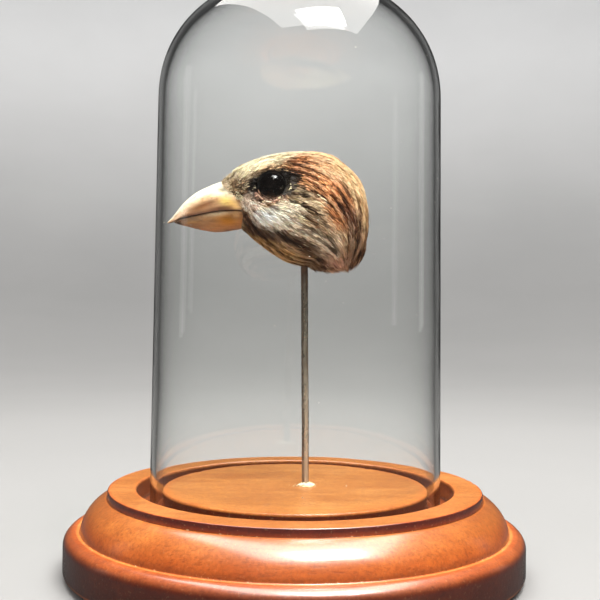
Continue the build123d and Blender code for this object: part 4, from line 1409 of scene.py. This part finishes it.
def lid_piece(side, name):
    """A beaded roll of skin round the glass, with broken folds below it."""
    points, faces, colours = [], [], []
    tube_sides = 10

    def roll(radius, tube, start, end, steps, beads, colour, closed):
        first = len(points)
        for i in range(steps if closed else steps + 1):
            angle = start + (end - start) * i / steps
            bead = 1 + 0.26 * abs(math.sin(angle * beads / 2))
            bead += 0.15 * ring_noise(angle, 5, radius * 3)
            fade = math.sin(math.pi * min(max(i / steps, 0.02), 0.98)) ** 0.5
            size = tube * bead * (1.0 if closed else fade)
            reach = radius + 0.05 * ring_noise(angle, 2.2, 7 + radius)
            x, z = EYE[0] + reach * math.cos(angle), EYE[2] + reach * math.sin(angle)
            height = EYE[1] + math.sqrt(max(EYE_R ** 2 - reach ** 2, 0.01))
            if reach > 2.45:    # beyond the glass: lie on the head
                nearest, _ = on_surface(np.array([[x, side * 8.0, z]]))
                height = abs(nearest[0, 1]) + 0.12
            centre = np.array([x, side * (height + 0.02), z])
            radial = np.array([math.cos(angle), 0, math.sin(angle)])
            outward = np.array([0, side, 0])
            for k in range(tube_sides):
                turn = 2 * math.pi * k / tube_sides
                points.append(centre + radial * math.cos(turn) * size
                              + outward * math.sin(turn) * size * 0.8)
                colours.append(colour(angle))
        for i in range(steps):
            row = first + i * tube_sides
            after = first + ((i + 1) % steps if closed else i + 1) * tube_sides
            for k in range(tube_sides):
                k2 = (k + 1) % tube_sides
                faces.append((row + k, row + k2, after + k2, after + k))
        if not closed:
            last = first + steps * tube_sides
            faces.append(tuple(range(first, first + tube_sides))[::-1])
            faces.append(tuple(range(last, last + tube_sides)))

    roll(radius=2.14, tube=0.06, start=0, end=2 * math.pi, steps=120, beads=40,
         colour=lid_rim_colour, closed=True)
    for index, (start, end, radius, tube) in enumerate(LID_FOLDS):
        fold_colour = (LID_TAN, LID_PINK, LID_CREAM)[index % 3]
        roll(radius, tube, math.radians(start), math.radians(end), steps=22, beads=13,
             colour=lambda angle: fold_colour, closed=False)
    if side > 0:
        faces = [face[::-1] for face in faces]
    add_piece(name, np.array(points), faces, LID, "plumage", "head_skin",
              colours=np.array(colours))


eye_piece(-1, "eye_glass_left", "eye_left")
eye_piece(1, "eye_glass_right", "eye_right")
lid_piece(-1, "eyelid_left")
lid_piece(1, "eyelid_right")

# =============================================================== beak
# stations from the face to the tip: x, top z, bottom z, half width
UPPER_BEAK = [
    (-9.9, 52.9, 47.2, 4.05), (-11.6, 53.05, 47.27, 4.0), (-13.2, 52.75, 47.25, 3.8),
    (-14.9, 52.2, 47.02, 3.45), (-16.5, 51.5, 46.74, 2.98), (-18.0, 50.7, 46.5, 2.42),
    (-19.4, 49.6, 46.28, 1.82), (-20.7, 48.3, 46.05, 1.22), (-21.8, 47.0, 45.68, 0.72),
    (-22.8, 46.0, 45.42, 0.34), (-23.36, 45.48, 45.32, 0.1)]
LOWER_BEAK = [
    (-9.9, 47.08, 44.45, 3.8), (-11.6, 47.15, 44.15, 3.75), (-13.2, 47.13, 43.9, 3.55),
    (-14.9, 46.9, 43.85, 3.18), (-16.5, 46.62, 44.1, 2.7), (-18.0, 46.38, 44.4, 2.12),
    (-19.4, 46.15, 44.74, 1.5), (-20.7, 45.88, 45.04, 0.9), (-21.5, 45.62, 45.27, 0.4),
    (-21.85, 45.48, 45.38, 0.12)]


def beak_piece(name, replaces, stations, upper, material, slot, paint_beak):
    # one more station, hidden inside the head
    x, top, bottom, half = stations[0]
    hidden = (x + 1.5, top - (0.9 if upper else 0.1), bottom + (0.0 if upper else 0.35),
              half - 0.35)
    rows = catmull([hidden] + stations, 96)
    arch_points, floor_points = 49, 15
    points = []
    for x, top, bottom, half in rows:
        far, edge = (top, bottom) if upper else (bottom, top)
        height = far - edge
        for i in range(arch_points):
            angle = math.pi * i / (arch_points - 1)
            sine = math.sin(angle)
            y = -half * math.cos(angle) * (0.86 + 0.14 * (1 - sine))
            points.append((x, y, edge + height * sine ** 0.85))
        sag = (0.14 if upper else -0.1) * min(half, abs(height))
        for i in range(1, floor_points - 1):
            t = -1 + 2 * i / (floor_points - 1)
            points.append((x, -half * t, edge + sag * (1 - t * t)))
    points = np.array(points)

    # x, y and z stay views of the points, and follow each step of the relief
    x, y, z = points.T
    broad = noise_at(points * (0.9, 2.2, 2.2))
    fine = noise_at(points * (4, 6, 6))
    top = np.interp(x, rows[::-1, 0], rows[::-1, 1])
    low = np.interp(x, rows[::-1, 0], rows[::-1, 2])
    if upper:
        nostril = np.exp(-(((x + 13.4) / 0.75) ** 2 + ((z - 50.6) / 0.42) ** 2))
        y -= np.sign(y) * 0.42 * nostril * (np.abs(y) > 1.0)
        furrow = np.exp(-(((z - low - 0.95) / 0.35) ** 2)) * smooth01((x + 21) / 2.5)
        y -= np.sign(y) * 0.10 * furrow
    wear = (0.05 * broad + 0.02 * fine) * smooth01((x + 22.8) / 3.0)
    y += np.sign(y) * wear * (np.abs(y) > 0.4)
    z += wear * (0.4 if upper else 0.5)

    ring = arch_points + floor_points - 2
    last = (len(rows) - 1) * ring
    faces = [
        (row + k, row + (k + 1) % ring, row + ring + (k + 1) % ring, row + ring + k)
        for row in range(0, last, ring) for k in range(ring)]
    faces.append(tuple(range(ring))[::-1])
    faces.append(tuple(range(last, last + ring)))
    if not upper:
        faces = [face[::-1] for face in faces]
    add_piece(name, points, faces, material, slot, replaces, sharp=42,
              colours=paint_beak(points, top, low))


def lay_colours(ground, count, layers):
    """Layers of (mask, display colour) over a ground colour."""
    colours = np.tile(srgb(*ground), (count, 1))
    for mask, colour in layers:
        colours = colours + (srgb(*colour) - colours) * np.clip(mask, 0, 1)[:, None]
    return colours


def height_share(z, top, low):
    """0 at the lower outline of the half beak, 1 at its upper outline."""
    return np.clip((z - low) / np.maximum(top - low, 1e-3), 0, 1)


def paint_upper(points, top, low):
    x, _, z = points.T
    height = height_share(z, top, low)
    uneven = noise_at(points * (0.55, 0.3, 1.6)) * 0.10
    spot = partial(gauss, x, z)
    # painted shade along the mouth line, under the upper mandible's overhang
    mouth_shade = smooth01((0.24 - height) / 0.20) * smooth01((x + 21.8) / 2)
    mouth_shade = mouth_shade * smooth01((-10.4 - x) / 1.5) * 0.85
    return lay_colours((190, 148, 110), len(points), (
        # paler towards the culmen: pale horn, with a painted highlight along the ridge
        (smooth01((height + uneven - 0.38) / 0.20), (230, 210, 178)),
        (smooth01((height + uneven - 0.56) / 0.18) * 0.95, (226, 218, 198)),
        (spot(-12.3, 48.8, 1.5, 0.85, -24) * 0.95, (226, 190, 104)),
        (spot(-11.0, 47.9, 1.1, 0.8, -30) * 0.8, (206, 158, 88)),
        (spot(-12.9, 50.6, 1.8, 0.8, -12) * 0.8, (210, 198, 168)),
        (spot(-15.8, 49.5, 2.2, 0.55, 24) * 0.7, (214, 168, 122)),
        # brown along the mouth line: brown horn, deepening into painted shade under the overhang
        (spot(-16.2, 48.25, 2.6, 0.52, 20) * 0.97, (116, 70, 40)),
        (spot(-17.4, 47.45, 2.4, 0.42, 22) * 0.9, (138, 90, 54)),
        (spot(-13.4, 47.75, 2.2, 0.38, 4) * 0.9, (112, 70, 36)),
        (spot(-20.6, 46.7, 1.7, 0.6, 34) * 0.6, (246, 216, 188)),
        (mouth_shade, (92, 52, 30)),
        # painted shade on the cutting edge, in the gap of the mouth
        ((z < low + 0.02) * 1.0, (84, 50, 32)),
    ))


def paint_lower(points, top, low):
    x, _, z = points.T
    height = height_share(z, top, low)
    spot = partial(gauss, x, z)
    # painted shade along the mouth line, under the upper mandible's overhang
    mouth_shade = smooth01((height - 0.90) / 0.08) * smooth01((-10.6 - x) / 1.2) * 0.85
    return lay_colours((176, 130, 88), len(points), (
        (spot(-12.1, 45.7, 2.1, 1.0, 0) * 0.98, (184, 120, 28)),
        (spot(-14.0, 46.7, 2.2, 0.34, 6) * 0.85, (226, 202, 166)),
        (spot(-10.6, 46.6, 0.7, 0.7, 40) * 0.7, (214, 168, 112)),
        (smooth01((0.30 - height) / 0.30) * 0.6, (192, 140, 98)),
        (smooth01((-16.2 - x) / 3.2) * 0.8, (150, 112, 82)),
        (spot(-18.6, 45.3, 1.6, 0.3, 8) * 0.6, (186, 138, 78)),
        (mouth_shade, (88, 52, 32)),
        (spot(-21.0, 45.3, 0.75, 0.32, -24) * 0.95, (44, 30, 24)),
        (spot(-12.3, 43.95, 0.5, 0.25, 0) * 0.7, (80, 52, 34)),
    ))


beak_piece("beak_upper", "upper_beak", UPPER_BEAK, True, HORN_UPPER, "beak_horn", paint_upper)
beak_piece("beak_lower", "lower_beak", LOWER_BEAK, False, HORN_LOWER, "lower_beak_horn",
           paint_lower)


# =============================================================== stage, lights, world, camera
def mirror_dimming(shader, light_path, heading_y):
    """How far to dim the room where a mirror-like reflection sees it.

    It acts on rays reflected at least once that met nothing matt. Those that crossed one to
    three glass surfaces and head towards +Y are dimmed less.
    """
    crossed = light_path["Transmission Depth"]
    bounces = shader.subtract(light_path["Ray Depth"], crossed)
    bounced = shader.math("GREATER_THAN", bounces, 0.5)
    mirror = shader.multiply(
        bounced, shader.math("LESS_THAN", light_path["Diffuse Depth"], 0.5))
    far = shader.fade(heading_y, 0.74, 0.97)
    few_surfaces = shader.multiply(
        shader.math("GREATER_THAN", crossed, 0.5), shader.math("LESS_THAN", crossed, 3.5))
    relief_share = shader.multiply(shader.multiply(far, few_surfaces), 0.55)
    return shader.multiply(mirror, shader.subtract(0.93, relief_share))


def stage_material():
    """Grey floor that turns pale as it rises into the wall."""
    mat = Material("stage_pale")
    mottle = mat.noise(scale=6, detail=3, rough=0.5)
    rise = mat.fade(mat.axis(mat.coords(), 2), 0.0, 0.5)
    floor = mat.ramp(mottle, (0.3, (0.212, 0.211, 0.208, 1)), (0.7, (0.228, 0.226, 0.223, 1)))
    wall = mat.ramp(mottle, (0.3, (0.66, 0.656, 0.648, 1)), (0.7, (0.70, 0.696, 0.688, 1)))
    colour = mat.mix(rise, floor, wall)
    light_path = mat.node("LightPath").outputs
    heading_y = mat.multiply(mat.axis(mat.geometry("Incoming"), 1), -1.0)
    dim = mirror_dimming(mat, light_path, heading_y)
    colour = mat.mix(dim, colour, (0.012, 0.012, 0.012, 1))
    return mat.surface_principled(Base_Color=colour, Roughness=0.85, Specular_IOR_Level=0.2)


def stage_piece():
    """A round floor that sweeps up into a wall; outline (radius, z) in metres."""
    floor_r, sweep_r = 0.4, 1.1
    outline = [(0, 0), (0.1, 0), (0.25, 0), (floor_r, 0)]
    for degrees in range(4, 91, 4):
        angle = math.radians(degrees)
        outline.append((floor_r + sweep_r * math.sin(angle), sweep_r - sweep_r * math.cos(angle)))
    outline += [(1.5, 1.4), (1.5, 1.9)]
    sunk = [(radius * 1000, z * 1000 - 0.05) for radius, z in outline]
    points, faces, _ = lathe(sunk, 96, closed=False)
    faces = [face[::-1] for face in faces]
    add_mesh("stage_sweep", points, faces, stage_material())


def area_light(name, place, target, size, power, colour, glossy=True, transmission=True):
    """Rectangular light; places in metres. The last two say which rays see it."""
    data = bpy.data.lights.new(name, "AREA")
    data.shape = "RECTANGLE"
    data.size, data.size_y = size
    data.energy = power
    data.color = colour
    light = bpy.data.objects.new(name, data)
    bpy.context.scene.collection.objects.link(light)
    light.location = place
    aim = Vector(target) - Vector(place)
    light.rotation_euler = aim.to_track_quat("-Z", "Y").to_euler()
    light.visible_glossy = glossy
    light.visible_transmission = transmission


def lights():
    area_light("key_overhead", place=(0.04, 0.01, 0.60), target=(0, 0, 0.02),
               size=(0.84, 0.60), power=8.2, colour=(1.0, 0.975, 0.94), transmission=False)
    area_light("soft_front", place=(0.01, -0.235, 0.56), target=(0, 0, 0.02),
               size=(1.0, 0.30), power=3.4, colour=(1.0, 0.975, 0.94),
               glossy=False, transmission=False)
    area_light("flash", place=(0.130, -0.25, 0.61), target=(0, 0, 0.06),
               size=(0.27, 0.22), power=5.0, colour=(1.0, 0.985, 0.96))
    area_light("fill_front", place=(-0.25, -0.80, 0.40), target=(0, 0, 0.05),
               size=(0.30, 0.30), power=2.0, colour=(1.0, 0.98, 0.95),
               glossy=False, transmission=False)
    area_light("wash_backdrop", place=(0.0, 0.35, 1.3), target=(0, 1.5, 0.5),
               size=(1.2, 0.4), power=7.5, colour=(0.98, 0.99, 1.0),
               glossy=False, transmission=False)
    for name, x, y in (("strip_left", -0.62, 0.10), ("strip_right", 0.62, 0.26)):
        area_light(name, place=(x, y, 0.14), target=(0, 0, 0.07),
                   size=(0.05, 0.34), power=0.03, colour=(1.0, 0.99, 0.97))


def studio_world():
    world = bpy.data.worlds.new("studio_world")
    bpy.context.scene.world = world
    shader = Shader(world, spare=0.5)
    background = shader.tree.nodes["Background"]
    background.inputs["Color"].default_value = (0.93, 0.95, 1.0, 1)
    light_path = shader.node("LightPath").outputs
    heading_y = shader.axis(shader.node("TexCoord").outputs["Generated"], 1)
    dim = mirror_dimming(shader, light_path, heading_y)
    strength = shader.multiply(0.50, shader.subtract(1.0, dim))
    shader.tree.links.new(strength, background.inputs["Strength"])


def render_settings():
    scene = bpy.context.scene
    scene.view_settings.view_transform = "Standard"
    scene.view_settings.look = "None"
    scene.view_settings.exposure = 0.0
    scene.cycles.max_bounces = 16
    scene.cycles.transmission_bounces = 14
    scene.cycles.transparent_max_bounces = 16
    scene.cycles.caustics_reflective = False
    scene.cycles.caustics_refractive = False
    scene.cycles.sample_clamp_indirect = 8.0


def camera():
    """Camera on the -Y side, a little above the platform, tilted very slightly up."""
    pitch, roll = math.radians(-0.909), math.radians(0.658)
    forward = Vector((0, math.cos(pitch), -math.sin(pitch)))
    level_up = Vector((0, math.sin(pitch), math.cos(pitch)))
    level_right = Vector((1, 0, 0))
    right = level_right * math.cos(roll) + level_up * math.sin(roll)
    up = level_up * math.cos(roll) - level_right * math.sin(roll)
    place = (0.462 * MM, -157.22 * MM, (29.70 + TOP) * MM)
    data = bpy.data.cameras.new("camera_main")
    data.sensor_width = 36.0
    data.lens = 54.01
    data.clip_start, data.clip_end = 0.01, 20
    view = bpy.data.objects.new("camera_main", data)
    bpy.context.scene.collection.objects.link(view)
    rows = [(right[i], up[i], -forward[i], place[i]) for i in range(3)]
    view.matrix_world = Matrix((*rows, (0, 0, 0, 1)))
    bpy.context.scene.camera = view


stage_piece()
lights()
studio_world()
render_settings()
camera()
